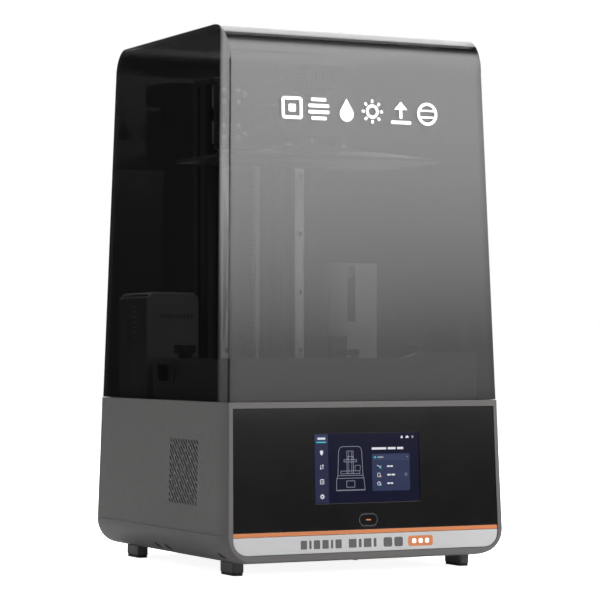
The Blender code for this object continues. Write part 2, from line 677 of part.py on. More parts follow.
# clamp lever: a hollow handle that lies over the head, with a ribbed lip at the front
LEVER_X = 20.5
lever_bm = cube_bm((-LEVER_X, LEVER_X), (-69.0, 6.0), (471.0, 487.0))
for v in lever_bm.verts:
    if v.co.z > 480 and v.co.y > 0:
        v.co.z = 490.0
bevel_where(lever_bm, lambda p, q: p.z > 480 and q.z > 480 and max(p.y, q.y) > 0 and abs(p.y - q.y) < 1e-3, 7.0, 3)
lever = add("clamp_lever", lever_bm, DARK_PLASTIC)
join(lever, box("lever_lip", (-LEVER_X, LEVER_X), (-69.0, -63.0), (464.5, 474.0), cutter=True))
boolean(lever, box("lever_hollow", (-LEVER_X + 3, LEVER_X - 3), (-63.6, 3.0), (460, 483.6), cutter=True))
join(lever, cylinder("lever_pin", (-LEVER_X + 1.5, LEVER_Y, LEVER_Z), 3.0, 2 * LEVER_X - 3, axis=0, segments=16, cutter=True))
ribs = bmesh.new()
for k in range(8):
    x = -14.0 + k * 4.0
    merge(ribs, cube_bm((x - 0.8, x + 0.8), (-69.8, -68.0), (468.5, 481.5)))
join(lever, add("lever_ribs", ribs, cutter=True))
pivot(lever, (0, LEVER_Y, LEVER_Z))

# ================================================================ vat
VAT_X, VAT_Y0, VAT_Y1, VAT_TOP = 132.0, -137.0, 54.0, 202.0
CAV_X, CAV_Y = 120.0, 75.0
KNOB_X, KNOB_Y = 127.2, -17.5
vat = box("resin_vat", (-VAT_X, VAT_X), (VAT_Y0, VAT_Y1), (DECK_Z + 0.4, VAT_TOP), VAT, 6.0, 3, axis=2)
# raised lip round the front right corner
lip = cube_bm((41.0, VAT_X - 1.0), (VAT_Y0 + 1.0, VAT_Y0 + 10.0), (VAT_TOP - 4, VAT_TOP + 6))
for v in lip.verts:
    if v.co.z > VAT_TOP and v.co.x < 50:
        v.co.x = 66.0
join(vat, add("vat_front_lip", lip, cutter=True))
lip = cube_bm((CAV_X + 1.2, VAT_X - 1.0), (VAT_Y0 + 1.0, -34.0), (VAT_TOP - 4, VAT_TOP + 6))
for v in lip.verts:
    if v.co.z > VAT_TOP and v.co.y > -40:
        v.co.y = -48.0
join(vat, add("vat_side_lip", lip, cutter=True))
boolean(
    vat,
    box("vat_cavity", (-CAV_X, CAV_X), (PLATE_Y - CAV_Y, PLATE_Y + CAV_Y), (150, 220), cutter=True, bevel=10.0, segments=4, axis=2),
)
# hollow between the inner wall and the skirt, left solid round the two screws
under_obj = add("vat_underside", cube_bm((-VAT_X + 3, VAT_X - 3), (VAT_Y0 + 3, VAT_Y1 - 3), (150, VAT_TOP - 4)), cutter=True)
boolean(under_obj, box("vat_inner_wall", (-CAV_X - 4, CAV_X + 4), (PLATE_Y - CAV_Y - 4, PLATE_Y + CAV_Y + 4), (140, 230), cutter=True, bevel=12.0, segments=4, axis=2))
bosses = bmesh.new()
for side in (-1, 1):
    merge(bosses, cube_bm(tuple(sorted((side * 120, side * 136))), (KNOB_Y - 20, KNOB_Y + 20), (130, 230)))
boolean(under_obj, add("vat_bosses", bosses, cutter=True))
boolean(vat, under_obj)
# pockets in the outer face beside each screw
pockets = bmesh.new()
for side in (-1, 1):
    merge(pockets, cube_bm(tuple(sorted((side * 130.5, side * 140))), (-38.0, -0.5), (180, 196)))
    merge(pockets, cube_bm(tuple(sorted((side * 128.0, side * 140))), (4.0, 38.0), (180, 196)))
boolean(vat, add("vat_pockets", pockets, cutter=True))
boolean(vat, box("film_pocket", (-CAV_X - 4.2, CAV_X + 4.2), (PLATE_Y - CAV_Y - 4.2, PLATE_Y + CAV_Y + 4.2), (150, 166.5), cutter=True, bevel=12.0, segments=3, axis=2))
for side in (-1, 1):
    hole = cylinder("vat_screw_hole" + ("_left" if side < 0 else "_right"), (side * KNOB_X, KNOB_Y, 150), 2.8, 70, segments=16, cutter=True)
    boolean(vat, hole)
    boolean(deck, hole)

ring = box("film_clamp", (-CAV_X - 3.6, CAV_X + 3.6), (PLATE_Y - CAV_Y - 3.6, PLATE_Y + CAV_Y + 3.6), (163.2, 165.5), STEEL, 11.4, 3, axis=2)
boolean(ring, box("clamp_window", (-CAV_X - 0.2, CAV_X + 0.2), (PLATE_Y - CAV_Y - 0.2, PLATE_Y + CAV_Y + 0.2), (150, 180), cutter=True, bevel=8, segments=2, axis=2))
box("release_film", (-CAV_X - 3.4, CAV_X + 3.4), (PLATE_Y - CAV_Y - 3.4, PLATE_Y + CAV_Y + 3.4), (165.8, 166.15), FILM, 11.2, 3, axis=2)

box("exposure_screen", (-118, 118), (PLATE_Y - 72, PLATE_Y + 72), (160.3, 163.2), BLACK_GLOSS)
box("screen_glass", (-118, 118), (PLATE_Y - 72, PLATE_Y + 72), (163.5, 165.5), FILM, 1.0, 1, axis=2)

# knobs that hold the vat down, one on each side, with their screws through the flange
for tag, side in (("left", -1), ("right", 1)):
    turned(
        "vat_knob_" + tag,
        [(0, 216.0), (9.6, 216.0), (10.8, 214.8), (10.8, 208.0), (9.6, 206.6), (7.2, 206.4), (7.2, 202.4), (2.4, 202.4), (2.4, 157.0), (0, 157.0)],
        ALU,
        (side * KNOB_X, KNOB_Y, 0),
        20,
    )

# ================================================================ units beside the column
heater_bm = cube_bm((-133.5, -76), (62, 133), (DECK_Z + 0.3, 268))
bevel_where(heater_bm, lambda p, q: p.z > 260 and q.z > 260 and p.x == q.x, 6.0, 1)
heater = shell("heater_unit", open_at(heater_bm, DECK_Z + 0.3), 2.5, DARK_PLASTIC)
louvres = bmesh.new()
for k in range(7):
    merge(louvres, cube_bm((-140, -125), (88, 108), (222.0 + k * 5.2, 223.6 + k * 5.2)))
boolean(heater, add("heater_louvres", louvres, cutter=True))

feed_bm = cube_bm((72, 134), (72, 133), (DECK_Z + 0.3, 301))
bevel_where(feed_bm, lambda p, q: p.x < 73 and q.x < 73 and p.y < 73 and q.y < 73, 32.0, 7)
bevel_where(feed_bm, lambda p, q: p.x > 133 and q.x > 133 and p.y < 73 and q.y < 73, 3.0, 2)
feed = shell("feed_unit", open_at(open_at(feed_bm, 301.0), DECK_Z + 0.3), 2.5, DARK_PLASTIC)
boolean(feed, box("sight_slot", (98.5, 107.5), (60, 80), (240, 298), cutter=True))
boolean(feed, box("spout_notch", (79, 97), (60, 85), (199, 225), cutter=True))
# shelf inside, with the hole that the bottle's neck stands in
join(feed, box("bottle_shelf", (73.5, 132.5), (82, 131.5), (194.0, 197.6), cutter=True))
boolean(feed, cylinder("neck_hole", (103.5, 103.0, 185), 16.0, 20, segments=24, cutter=True))

turned(
    "resin_bottle",
    [(0, 290.0), (22.5, 290.0), (25.0, 287.0), (25.0, 212.0), (21.0, 203.0), (13.5, 196.0), (13.5, 176.0), (12.5, 175.0), (0, 175.0)],
    BOTTLE,
    (103.5, 103.0, 0),
    24,
)
spout = box("feed_spout", (79.3, 96.7), (69.0, 78.5), (199.3, 224.7), DARK_PLASTIC, 1.0, 1)
join(spout, box("spout_tube", (83, 93), (36.2, 71.0), (205.0, 211.0), cutter=True, bevel=1.2, segments=1, axis=1))
join(spout, box("spout_lip", (84.5, 91.5), (36.7, 39.2), (197.0, 207.5), cutter=True))

bpy.context.view_layer.update()
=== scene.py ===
import json
import math

import bmesh
import bpy
from mathutils import Matrix, Vector

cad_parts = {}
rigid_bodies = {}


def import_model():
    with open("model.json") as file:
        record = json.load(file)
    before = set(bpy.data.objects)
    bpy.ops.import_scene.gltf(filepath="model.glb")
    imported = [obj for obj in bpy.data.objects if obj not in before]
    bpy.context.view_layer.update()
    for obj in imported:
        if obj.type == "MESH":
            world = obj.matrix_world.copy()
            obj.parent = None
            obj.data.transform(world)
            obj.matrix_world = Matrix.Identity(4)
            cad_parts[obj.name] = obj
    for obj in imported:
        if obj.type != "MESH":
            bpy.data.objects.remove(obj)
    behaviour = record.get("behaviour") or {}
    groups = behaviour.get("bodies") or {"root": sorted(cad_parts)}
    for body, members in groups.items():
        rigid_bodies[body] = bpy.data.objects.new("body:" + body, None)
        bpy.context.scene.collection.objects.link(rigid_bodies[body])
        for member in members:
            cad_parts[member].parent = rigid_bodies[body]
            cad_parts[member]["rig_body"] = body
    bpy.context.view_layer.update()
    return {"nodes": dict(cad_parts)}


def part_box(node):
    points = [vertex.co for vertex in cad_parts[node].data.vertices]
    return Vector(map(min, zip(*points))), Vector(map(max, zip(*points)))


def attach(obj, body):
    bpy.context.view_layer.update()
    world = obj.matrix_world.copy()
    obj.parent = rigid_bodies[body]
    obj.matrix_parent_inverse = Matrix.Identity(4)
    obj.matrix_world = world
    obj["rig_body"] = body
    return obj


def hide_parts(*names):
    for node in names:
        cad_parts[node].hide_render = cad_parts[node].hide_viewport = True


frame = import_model()
nodes = frame["nodes"]
scene = bpy.context.scene
MM = 0.001

# ---------------------------------------------------------------- sizes shared with the CAD (mm)
SEAM_Z, TOP_Z, BASE_Z = 162.0, 515.0, 12.0
HALF_W, HALF_D, HALF_F = 145.7, 148.25, 152.75
DRAFT_X, DRAFT_Y = 0.026, 0.044
BOTTOM_R = 27.0
ROLL, ROLL_L = 3.0, 21.0
WALL, RIM = 4.0, 1.8
HOOD_WALL, HOOD_Z, HOOD_INSET = 3.0, 162.5, 0.6
HOOD_FRONT_R, HOOD_REAR_R = 36.0, 24.0
SCREW_Y, RAIL_X = 90.0, 42.0
PLATE_Y = -35.5
KNOB_X, KNOB_Y = 127.2, -17.5
LEVER_Y, LEVER_Z = -12.0, 473.5


def half_w(z):
    return HALF_W - DRAFT_X * (z - SEAM_Z)


def half_d(z):
    return HALF_D - DRAFT_Y * (z - SEAM_Z)


def half_f(z):
    return HALF_F - DRAFT_Y * (z - SEAM_Z)


FRONT = Matrix.Translation(Vector((0, -HALF_F, SEAM_Z)) * MM) @ Matrix.Rotation(-math.atan(DRAFT_Y), 4, "X")

# emission of the floor against distance from the machine, in quarters of a metre over 4 m
FLOOR_STOPS = ((0.02, 0.9), (0.04, 0.93), (0.06, 1.0), (0.2, 1.0))

# ---------------------------------------------------------------- materials
def tree_of(name):
    m = bpy.data.materials.new(name)
    m.use_nodes = True
    t = m.node_tree
    return m, t, t.nodes["Principled BSDF"]


def noise(t, scale, detail=3.0, stretch=None, rough=0.5):
    """Noise on object coordinates. scale is per metre."""
    coord = t.nodes.new("ShaderNodeTexCoord")
    n = t.nodes.new("ShaderNodeTexNoise")
    n.inputs["Scale"].default_value = scale
    n.inputs["Detail"].default_value = detail
    n.inputs["Roughness"].default_value = rough
    if stretch:
        m = t.nodes.new("ShaderNodeMapping")
        m.inputs["Scale"].default_value = stretch
        t.links.new(coord.outputs["Object"], m.inputs["Vector"])
        t.links.new(m.outputs["Vector"], n.inputs["Vector"])
    else:
        t.links.new(coord.outputs["Object"], n.inputs["Vector"])
    return n.outputs["Fac"]


def ramp(t, fac, a, b, lo=0.3, hi=0.7):
    r = t.nodes.new("ShaderNodeValToRGB")
    r.color_ramp.elements[0].position = lo
    r.color_ramp.elements[0].color = (*a, 1)
    r.color_ramp.elements[1].position = hi
    r.color_ramp.elements[1].color = (*b, 1)
    t.links.new(fac, r.inputs["Fac"])
    return r.outputs["Color"]


def spread(t, fac, lo, hi, a=0.3, b=0.7):
    r = t.nodes.new("ShaderNodeMapRange")
    r.inputs["From Min"].default_value = a
    r.inputs["From Max"].default_value = b
    r.inputs["To Min"].default_value = lo
    r.inputs["To Max"].default_value = hi
    t.links.new(fac, r.inputs["Value"])
    return r.outputs["Result"]


def bump(t, p, height, distance, strength=1.0, under=None):
    b = t.nodes.new("ShaderNodeBump")
    b.inputs["Distance"].default_value = distance
    b.inputs["Strength"].default_value = strength
    t.links.new(height, b.inputs["Height"])
    if under is not None:
        t.links.new(under, b.inputs["Normal"])
    t.links.new(b.outputs["Normal"], p.inputs["Normal"])
    return b.outputs["Normal"]


def finish(name, colour, rough, metal=0.0, tone=0.10, tone_scale=22.0, rough_var=0.06, rough_scale=180.0,
           grain=0.00002, grain_scale=2200.0, stretch=None, coat=0.0, specular=0.5, alpha=None, ior=1.5, glow=None):
    """A material with a soft drift in tone, mottled roughness and a fine moulded or brushed grain."""
    m, t, p = tree_of(name)
    a = tuple(c * (1 - tone) for c in colour)
    b = tuple(min(c * (1 + tone), 1.0) for c in colour)
    t.links.new(ramp(t, noise(t, tone_scale, 4.0), a, b), p.inputs["Base Color"])
    t.links.new(
        spread(t, noise(t, rough_scale, 3.0, stretch), max(rough - rough_var, 0.02), min(rough + rough_var, 1.0)),
        p.inputs["Roughness"],
    )
    if grain:
        bump(t, p, noise(t, grain_scale, 2.0, stretch), grain)
    p.inputs["Metallic"].default_value = metal
    p.inputs["Specular IOR Level"].default_value = specular
    p.inputs["IOR"].default_value = ior
    if coat:
        p.inputs["Coat Weight"].default_value = coat
        p.inputs["Coat Roughness"].default_value = 0.05
    if alpha is not None:
        p.inputs["Alpha"].default_value = alpha
    if glow:
        p.inputs["Emission Color"].default_value = (*glow, 1.0)
        p.inputs["Emission Strength"].default_value = 1.0
    return m


M = {}
M["grey"] = finish("housing_grey", (0.058, 0.055, 0.054), 0.52, tone=0.02, rough_var=0.03, grain=0.000004, grain_scale=2600.0, specular=0.3)
M["grey_foot"] = finish("foot_grey", (0.050, 0.048, 0.047), 0.55, tone=0.03, grain=0.000006, specular=0.3)
M["gloss"] = finish("panel_black", (0.002, 0.002, 0.0022), 0.06, tone=0.25, rough_var=0.02, rough_scale=45.0, grain=0.000004, grain_scale=14.0, specular=0.32)
M["orange"] = finish("accent_orange", (0.31, 0.088, 0.015), 0.36, tone=0.05, rough_var=0.05, grain=0.00001)
M["silver"] = finish("strip_silver", (0.27, 0.27, 0.273), 0.42, tone=0.03, rough_var=0.08, rough_scale=60.0, grain=0.000008, grain_scale=900.0, stretch=(0.04, 1, 1))
M["rubber"] = finish("rubber", (0.016, 0.016, 0.016), 0.85, tone=0.2, grain=0.00008, grain_scale=1200.0)
M["steel"] = finish("steel", (0.50, 0.50, 0.51), 0.32, 1.0, tone=0.05, rough_var=0.05, rough_scale=400.0, grain=0.0000015, grain_scale=900.0, stretch=(1, 1, 0.03))
M["zinc"] = finish("zinc_plated", (0.50, 0.50, 0.49), 0.36, 1.0, tone=0.1, rough_var=0.1, rough_scale=260.0, grain=0.00002, grain_scale=700.0)
M["alu"] = finish("aluminium", (0.60, 0.60, 0.61), 0.36, 1.0, tone=0.05, rough_var=0.08, rough_scale=900.0, grain=0.00001, grain_scale=1800.0, stretch=(0.03, 1, 1))
M["turned_alu"] = finish("turned_aluminium", (0.62, 0.62, 0.63), 0.28, 1.0, tone=0.04, rough_var=0.06, rough_scale=900.0, grain=0.000008, grain_scale=2400.0, stretch=(1, 1, 0.02))
M["knob"] = finish("knob_anodised", (0.022, 0.022, 0.024), 0.34, 0.4, tone=0.1, rough_var=0.06, grain=0.00002, grain_scale=2400.0)
M["anodised"] = finish("anodised_black", (0.011, 0.011, 0.012), 0.44, 0.25, tone=0.12, rough_var=0.05, grain=0.00003, grain_scale=3200.0)
M["plastic"] = finish("dark_plastic", (0.026, 0.026, 0.028), 0.48, tone=0.12, rough_var=0.07, grain=0.00004, grain_scale=2400.0)
M["heater"] = finish("heater_plastic", (0.13, 0.13, 0.133), 0.5, tone=0.08, rough_var=0.06, grain=0.00004, grain_scale=2200.0)
# the heater plastic again: darker for painted shade on its flank, and lighter for a painted highlight on its
# upward-sloping edges
M["heater_side"] = finish("heater_side_plastic", (0.035, 0.035, 0.037), 0.42, tone=0.08, rough_var=0.06, grain=0.00004, grain_scale=2200.0)
M["heater_edge"] = finish("heater_edge_plastic", (0.34, 0.34, 0.345), 0.4, tone=0.05, rough_var=0.05, grain=0.00004, grain_scale=2200.0)
M["unit"] = finish("unit_plastic", (0.40, 0.40, 0.405), 0.5, tone=0.05, rough_var=0.06, grain=0.00004, grain_scale=2200.0)
M["vat"] = finish("vat_dark", (0.045, 0.045, 0.048), 0.42, 0.2, tone=0.08, rough_var=0.06, grain=0.00004, grain_scale=3000.0)
M["film"] = finish("clear_film", (0.72, 0.74, 0.76), 0.08, tone=0.03, rough_var=0.04, grain=0.00002, grain_scale=30.0, alpha=0.3)
M["brass"] = finish("brass", (0.62, 0.43, 0.17), 0.32, 1.0, tone=0.07, rough_var=0.08)
M["bottle"] = finish("bottle_plastic", (0.055, 0.055, 0.06), 0.35, tone=0.06, rough_var=0.05, grain=0.00003, grain_scale=240.0)
M["cap"] = finish("bottle_label", (0.33, 0.34, 0.35), 0.5, tone=0.04, grain=0.00002)
M["led"] = finish("led_lens", (0.75, 0.78, 0.8), 0.12, tone=0.03, grain=0.0)
M["copper"] = finish("copper", (0.72, 0.36, 0.2), 0.35, 1.0)
M["white_print"] = finish("white_print", (0.84, 0.84, 0.85), 0.5, tone=0.02, grain=0.000005, grain_scale=900.0)
M["dark_print"] = finish("dark_print", (0.03, 0.03, 0.032), 0.5, tone=0.05, grain=0.000005, grain_scale=900.0)
M["fine_print"] = finish("fine_print", (0.07, 0.07, 0.074), 0.5, tone=0.05, grain=0.000005, grain_scale=900.0)
M["label"] = finish("rating_label", (0.42, 0.42, 0.43), 0.45, tone=0.04, grain=0.00001, grain_scale=600.0)


def hood_material():
    """Smoke-tinted acrylic: mirror smooth, with a trace of moulding waviness and a few dust-fine haze patches."""
    m, t, p = tree_of("hood_tint")
    p.inputs["Base Color"].default_value = (0.006, 0.006, 0.007, 1)
    t.links.new(ramp(t, noise(t, 9.0, 3.0), (0.0014, 0.0014, 0.0016), (0.0020, 0.0020, 0.0023)), p.inputs["Base Color"])
    t.links.new(spread(t, noise(t, 26.0, 5.0), 0.02, 0.036), p.inputs["Roughness"])
    bump(t, p, noise(t, 5.0, 1.0), 0.00003)
    p.inputs["IOR"].default_value = 1.5
    p.inputs["Specular IOR Level"].default_value = 0.85
    p.inputs["Alpha"].default_value = 0.52
    return m


M["hood"] = hood_material()


def board_material():
    """Solder mask with tracks: a green board whose copper shows as lighter lines."""
    m, t, p = tree_of("circuit_board")
    coord = t.nodes.new("ShaderNodeTexCoord")
    brick = t.nodes.new("ShaderNodeTexBrick")
    brick.inputs["Scale"].default_value = 130.0
    brick.inputs["Mortar Size"].default_value = 0.045
    brick.inputs["Color1"].default_value = (0.010, 0.060, 0.028, 1)
    brick.inputs["Color2"].default_value = (0.014, 0.075, 0.036, 1)
    brick.inputs["Mortar"].default_value = (0.05, 0.17, 0.085, 1)
    t.links.new(coord.outputs["Object"], brick.inputs["Vector"])
    t.links.new(brick.outputs["Color"], p.inputs["Base Color"])
    t.links.new(spread(t, noise(t, 300.0), 0.28, 0.45), p.inputs["Roughness"])
    bump(t, p, brick.outputs["Fac"], 0.00004, 0.5)
    return m


M["board"] = board_material()


def plate_material():
    """Build plate: aluminium, laser textured with a fine crossed grid."""
    m, t, p = tree_of("build_plate")
    coord = t.nodes.new("ShaderNodeTexCoord")
    waves = []
    for axis in ("X", "Y"):
        w = t.nodes.new("ShaderNodeTexWave")
        w.bands_direction = axis
        w.inputs["Scale"].default_value = 320.0
        t.links.new(coord.outputs["Object"], w.inputs["Vector"])
        waves.append(w.outputs["Fac"])
    mul = t.nodes.new("ShaderNodeMath")
    mul.operation = "MULTIPLY"
    t.links.new(waves[0], mul.inputs[0])
    t.links.new(waves[1], mul.inputs[1])
    t.links.new(ramp(t, noise(t, 40.0), (0.045, 0.045, 0.047), (0.06, 0.06, 0.062)), p.inputs["Base Color"])
    t.links.new(spread(t, mul.outputs[0], 0.34, 0.5, 0.0, 1.0), p.inputs["Roughness"])
    bump(t, p, mul.outputs[0], 0.00003, 0.6)
    p.inputs["Metallic"].default_value = 0.6
    return m


M["plate"] = plate_material()


def glow_material(name, colour, strength=1.0, rough=0.25):
    """Lit picture element under the display's glass, with the panel's fine dot grid."""
    m, t, p = tree_of(name)
    coord = t.nodes.new("ShaderNodeTexCoord")
    w = t.nodes.new("ShaderNodeTexWave")
    w.bands_direction = "X"
    w.inputs["Scale"].default_value = 900.0
    t.links.new(coord.outputs["Object"], w.inputs["Vector"])
    a = tuple(c * 0.94 for c in colour)
    t.links.new(ramp(t, w.outputs["Fac"], a, colour, 0.0, 1.0), p.inputs["Emission Color"])
    t.links.new(ramp(t, noise(t, 60.0), (0.001, 0.001, 0.0014), (0.0014, 0.0014, 0.002)), p.inputs["Base Color"])
    t.links.new(spread(t, noise(t, 40.0), rough - 0.03, rough + 0.03), p.inputs["Roughness"])
    p.inputs["Emission Strength"].default_value = strength
    p.inputs["Specular IOR Level"].default_value = 0.2
    return m


M["ui_bg"] = glow_material("display_navy", (0.0025, 0.003, 0.019), rough=0.08)
M["ui_side"] = glow_material("display_sidebar", (0.020, 0.024, 0.060), rough=0.09)
M["ui_card"] = glow_material("display_card", (0.027, 0.036, 0.086), rough=0.09)
M["ui_card_head"] = glow_material("display_card_head", (0.034, 0.046, 0.105), rough=0.09)
M["ui_white"] = glow_material("display_white", (0.72, 0.74, 0.80), rough=0.2)
M["ui_grey"] = glow_material("display_grey", (0.28, 0.30, 0.36), rough=0.2)
M["ui_teal"] = glow_material("display_teal", (0.05, 0.50, 0.60), rough=0.2)
M["ui_amber"] = glow_material("display_amber", (0.75, 0.26, 0.05), rough=0.2)


# ---------------------------------------------------------------- mesh helpers
def link(obj):
    scene.collection.objects.link(obj)
    return obj


def to_object(name, bm, mat, place=None, smooth=True):
    """A mesh object from a bmesh in millimetres, at its place in the row frame."""
    bmesh.ops.recalc_face_normals(bm, faces=bm.faces)
    for v in bm.verts:
        v.co *= MM
    if place is not None:
        bmesh.ops.transform(bm, matrix=place, verts=bm.verts)
    mesh = bpy.data.meshes.new(name)
    bm.to_mesh(mesh)
    bm.free()
    if smooth:
        mesh.shade_smooth()
    obj = link(bpy.data.objects.new(name, mesh))
    if mat is not None:
        mesh.materials.append(mat)
    return obj


def apply(obj):
    """Bakes the object's modifiers into its mesh."""
    graph = bpy.context.evaluated_depsgraph_get()
    mesh = bpy.data.meshes.new_from_object(obj.evaluated_get(graph), depsgraph=graph)
    old = obj.data
    obj.modifiers.clear()
    obj.data = mesh
    mesh.name = obj.name
    if old.users == 0:
        bpy.data.meshes.remove(old)
    return obj


def drop(*objs):
    for o in objs:
        mesh = o.data
        bpy.data.objects.remove(o)
        if mesh.users == 0:
            bpy.data.meshes.remove(mesh)


def cube_bm(x, y, z):
    bm = bmesh.new()
    bmesh.ops.create_cube(bm, size=1.0)
    for v in bm.verts:
        v.co.x = x[1] if v.co.x > 0 else x[0]
        v.co.y = y[1] if v.co.y > 0 else y[0]
        v.co.z = z[1] if v.co.z > 0 else z[0]
    return bm


def bevel_where(bm, test, offset, segments):
    edges = [e for e in bm.edges if test(e.verts[0].co, e.verts[1].co)]
    bmesh.ops.bevel(bm, geom=edges, offset=offset, offset_type="OFFSET", segments=segments, profile=0.5, affect="EDGES", clamp_overlap=True)


def merge(target, other):
    mesh = bpy.data.meshes.new("scratch")
    other.to_mesh(mesh)
    other.free()
    target.from_mesh(mesh)
    bpy.data.meshes.remove(mesh)
    return target


def box_bm(x, y, z, r=0.0, axis=None, segments=4):
    """A box in mm, rounded along one axis or all round."""
    bm = cube_bm(x, y, z)
    if r:
        if axis is None:
            bevel_where(bm, lambda a, b: True, r, segments)
        else:
            others = [k for k in range(3) if k != axis]
            bevel_where(bm, lambda a, b: all(abs(a[k] - b[k]) < 1e-6 for k in others), r, segments)
    return bm


AXES = {0: Matrix.Rotation(math.radians(90), 4, "Y"), 1: Matrix.Rotation(math.radians(-90), 4, "X"), 2: Matrix.Identity(4)}


def tube_bm(profile, centre=(0, 0, 0), axis=2, steps=64):
    """A turned solid: profile is (radius, height) pairs, with the axis along +axis from centre."""
    bm = bmesh.new()
    rings = []
    for r, h in profile:
        if r <= 1e-6:
            rings.append([bm.verts.new((0, 0, h))])
        else:
            rings.append([bm.verts.new((r * math.cos(2 * math.pi * k / steps), r * math.sin(2 * math.pi * k / steps), h)) for k in range(steps)])
    for a, b in zip(rings, rings[1:]):
        for k in range(steps):
            q = [a[k % len(a)], a[(k + 1) % len(a)], b[(k + 1) % len(b)], b[k % len(b)]]
            loop = []
            for v in q:
                if v not in loop:
                    loop.append(v)
            if len(loop) >= 3:
                bm.faces.new(loop)
    bmesh.ops.transform(bm, matrix=Matrix.Translation(Vector(centre)) @ AXES[axis], verts=bm.verts)
    return bm


def soften(obj, width, segments=2, angle=30.0, weight=True, apply_now=False):
    """Small moulded or broken edges, and flat faces that shade flat."""
    if width:
        b = obj.modifiers.new("edges", "BEVEL")
        b.width = width * MM
        b.segments = segments
        b.limit_method = "ANGLE"
        b.angle_limit = math.radians(angle)
        b.miter_outer = "MITER_ARC"
        b.use_clamp_overlap = True
    if weight:
        w = obj.modifiers.new("flats", "WEIGHTED_NORMAL")
        w.keep_sharp = True
        w.weight = 80
    if apply_now:
        apply(obj)
    return obj


def cut(obj, tool, operation="DIFFERENCE"):
    """Applies one exact boolean and removes the tool."""
    mod = obj.modifiers.new("cut", "BOOLEAN")
    mod.operation = operation
    mod.solver = "EXACT"
    mod.object = tool
    apply(obj)
    drop(tool)
    return obj


def body_of(node):
    return nodes[node]["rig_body"]


def piece(obj, body, *replaced, slot=None):
    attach(obj, body)
    if replaced:
        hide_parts(*replaced)
    return obj


def clean_copy(node, name):
    """The CAD node's shape with its flats made whole, so that its edges can be rounded."""
    bm = bmesh.new()
    bm.from_mesh(nodes[node].data)
    bmesh.ops.remove_doubles(bm, verts=bm.verts, dist=4e-6)
    bmesh.ops.dissolve_limit(bm, angle_limit=math.radians(0.6), use_dissolve_boundaries=False, verts=bm.verts, edges=bm.edges)
    mesh = bpy.data.meshes.new(name)
    bm.to_mesh(mesh)
    bm.free()
    mesh.shade_smooth()
    return link(bpy.data.objects.new(name, mesh))


def refine(node, mat, bevel=0.4, segments=2, angle=30.0, slot=None):
    """Stands for a CAD node with the same shape and broken edges."""
    obj = clean_copy(node, node + "_shape")
    obj.data.materials.append(M[mat])
    soften(obj, bevel, segments, angle)
    return piece(obj, body_of(node), node, slot=slot)


def dress(node, mat):
    """A carried-over CAD node gets its finish."""
    mesh = nodes[node].data
    mesh.materials.clear()
    mesh.materials.append(M[mat])


# ---------------------------------------------------------------- the outer form
def roll_in(distance):
    if distance >= ROLL_L:
        return 0.0
    radius = (ROLL_L**2 + ROLL**2) / (2 * ROLL)
    return radius - math.sqrt(radius**2 - (ROLL_L - distance) ** 2)


def body_bm(z0, z1, inset=0.0, bottom_r=0.0, top_r=None, fine=True):
    """The machine's outer form between two heights: the CAD's own surface, in smaller steps."""
    a, b, f = HALF_W - inset, HALF_D - inset, HALF_F - inset
    bm = cube_bm((-a, a), (-f, b), (z0, z1))
    if bottom_r:
        bevel_where(bm, lambda p, q: max(abs(p.z - z0), abs(q.z - z0), abs(p.x - q.x)) < 1e-3, bottom_r, 18 if fine else 6)
    if top_r:
        bevel_where(bm, lambda p, q: max(abs(p.z - z1), abs(q.z - z1), abs(p.y - q.y)) < 1e-3 and p.y < 0, top_r[0], 24 if fine else 8)
        bevel_where(bm, lambda p, q: max(abs(p.z - z1), abs(q.z - z1)) < 1e-3 and min(p.y, q.y) > b - 1e-3, top_r[1], 18 if fine else 6)
    stops = (ROLL_L, 19.0, 17.0, 15.0, 13.0, 11.0, 9.0, 7.2, 5.6, 4.2, 3.0, 2.0, 1.0) if fine else (ROLL_L, 16.5, 12.0, 7.5, 3.5)
    for t in stops:
        bmesh.ops.bisect_plane(bm, geom=bm.verts[:] + bm.edges[:] + bm.faces[:], plane_co=(0, t - f, 0), plane_no=(0, 1, 0))
    if top_r:
        bmesh.ops.bisect_plane(bm, geom=bm.verts[:] + bm.edges[:] + bm.faces[:], plane_co=(0, 0, z1 - top_r[0]), plane_no=(0, 0, 1))
    for v in bm.verts:
        edge = f + v.co.y
        fade = 1.0
        if top_r and v.co.z > z1 - top_r[0]:
            fade = (z1 - v.co.z) / top_r[0]
            cy, cz = top_r[0] - f, z1 - top_r[0]
            if v.co.y < cy:
                edge = top_r[0] - math.hypot(v.co.y - cy, v.co.z - cz)
        d = roll_in(max(edge, 0.0)) * fade
        if d <= 0:
            continue
        if bottom_r and v.co.z < z0 + bottom_r - 1e-3:
            cx, cz = a - bottom_r, z0 + bottom_r
            if abs(v.co.x) >= cx - 1e-6:
                out = Vector((abs(v.co.x) - cx, 0, v.co.z - cz)).normalized()
                v.co.x -= math.copysign(out.x * d, v.co.x)
                v.co.z -= out.z * d
            else:
                v.co.z += d
        elif abs(v.co.x) > a - 1e-3:
            v.co.x -= math.copysign(d, v.co.x)
    for v in bm.verts:
        v.co.x *= half_w(v.co.z) / HALF_W
        v.co.y *= half_d(v.co.z) / HALF_D if v.co.y > 0 else half_f(v.co.z) / HALF_F
    return bm


def open_at(bm, z):
    faces = [f for f in bm.faces if all(abs(v.co.z - z) < 0.01 for v in f.verts)]
    bmesh.ops.delete(bm, geom=faces, context="FACES")
    return bm


def solid_shell(name, bm, thickness, mat):
    bmesh.ops.recalc_face_normals(bm, faces=bm.faces)
    obj = to_object(name, bm, mat)
    s = obj.modifiers.new("wall", "SOLIDIFY")
    s.thickness = thickness * MM
    s.offset = -1.0
    s.use_even_offset = True
    s.use_quality_normals = True
    return apply(obj)


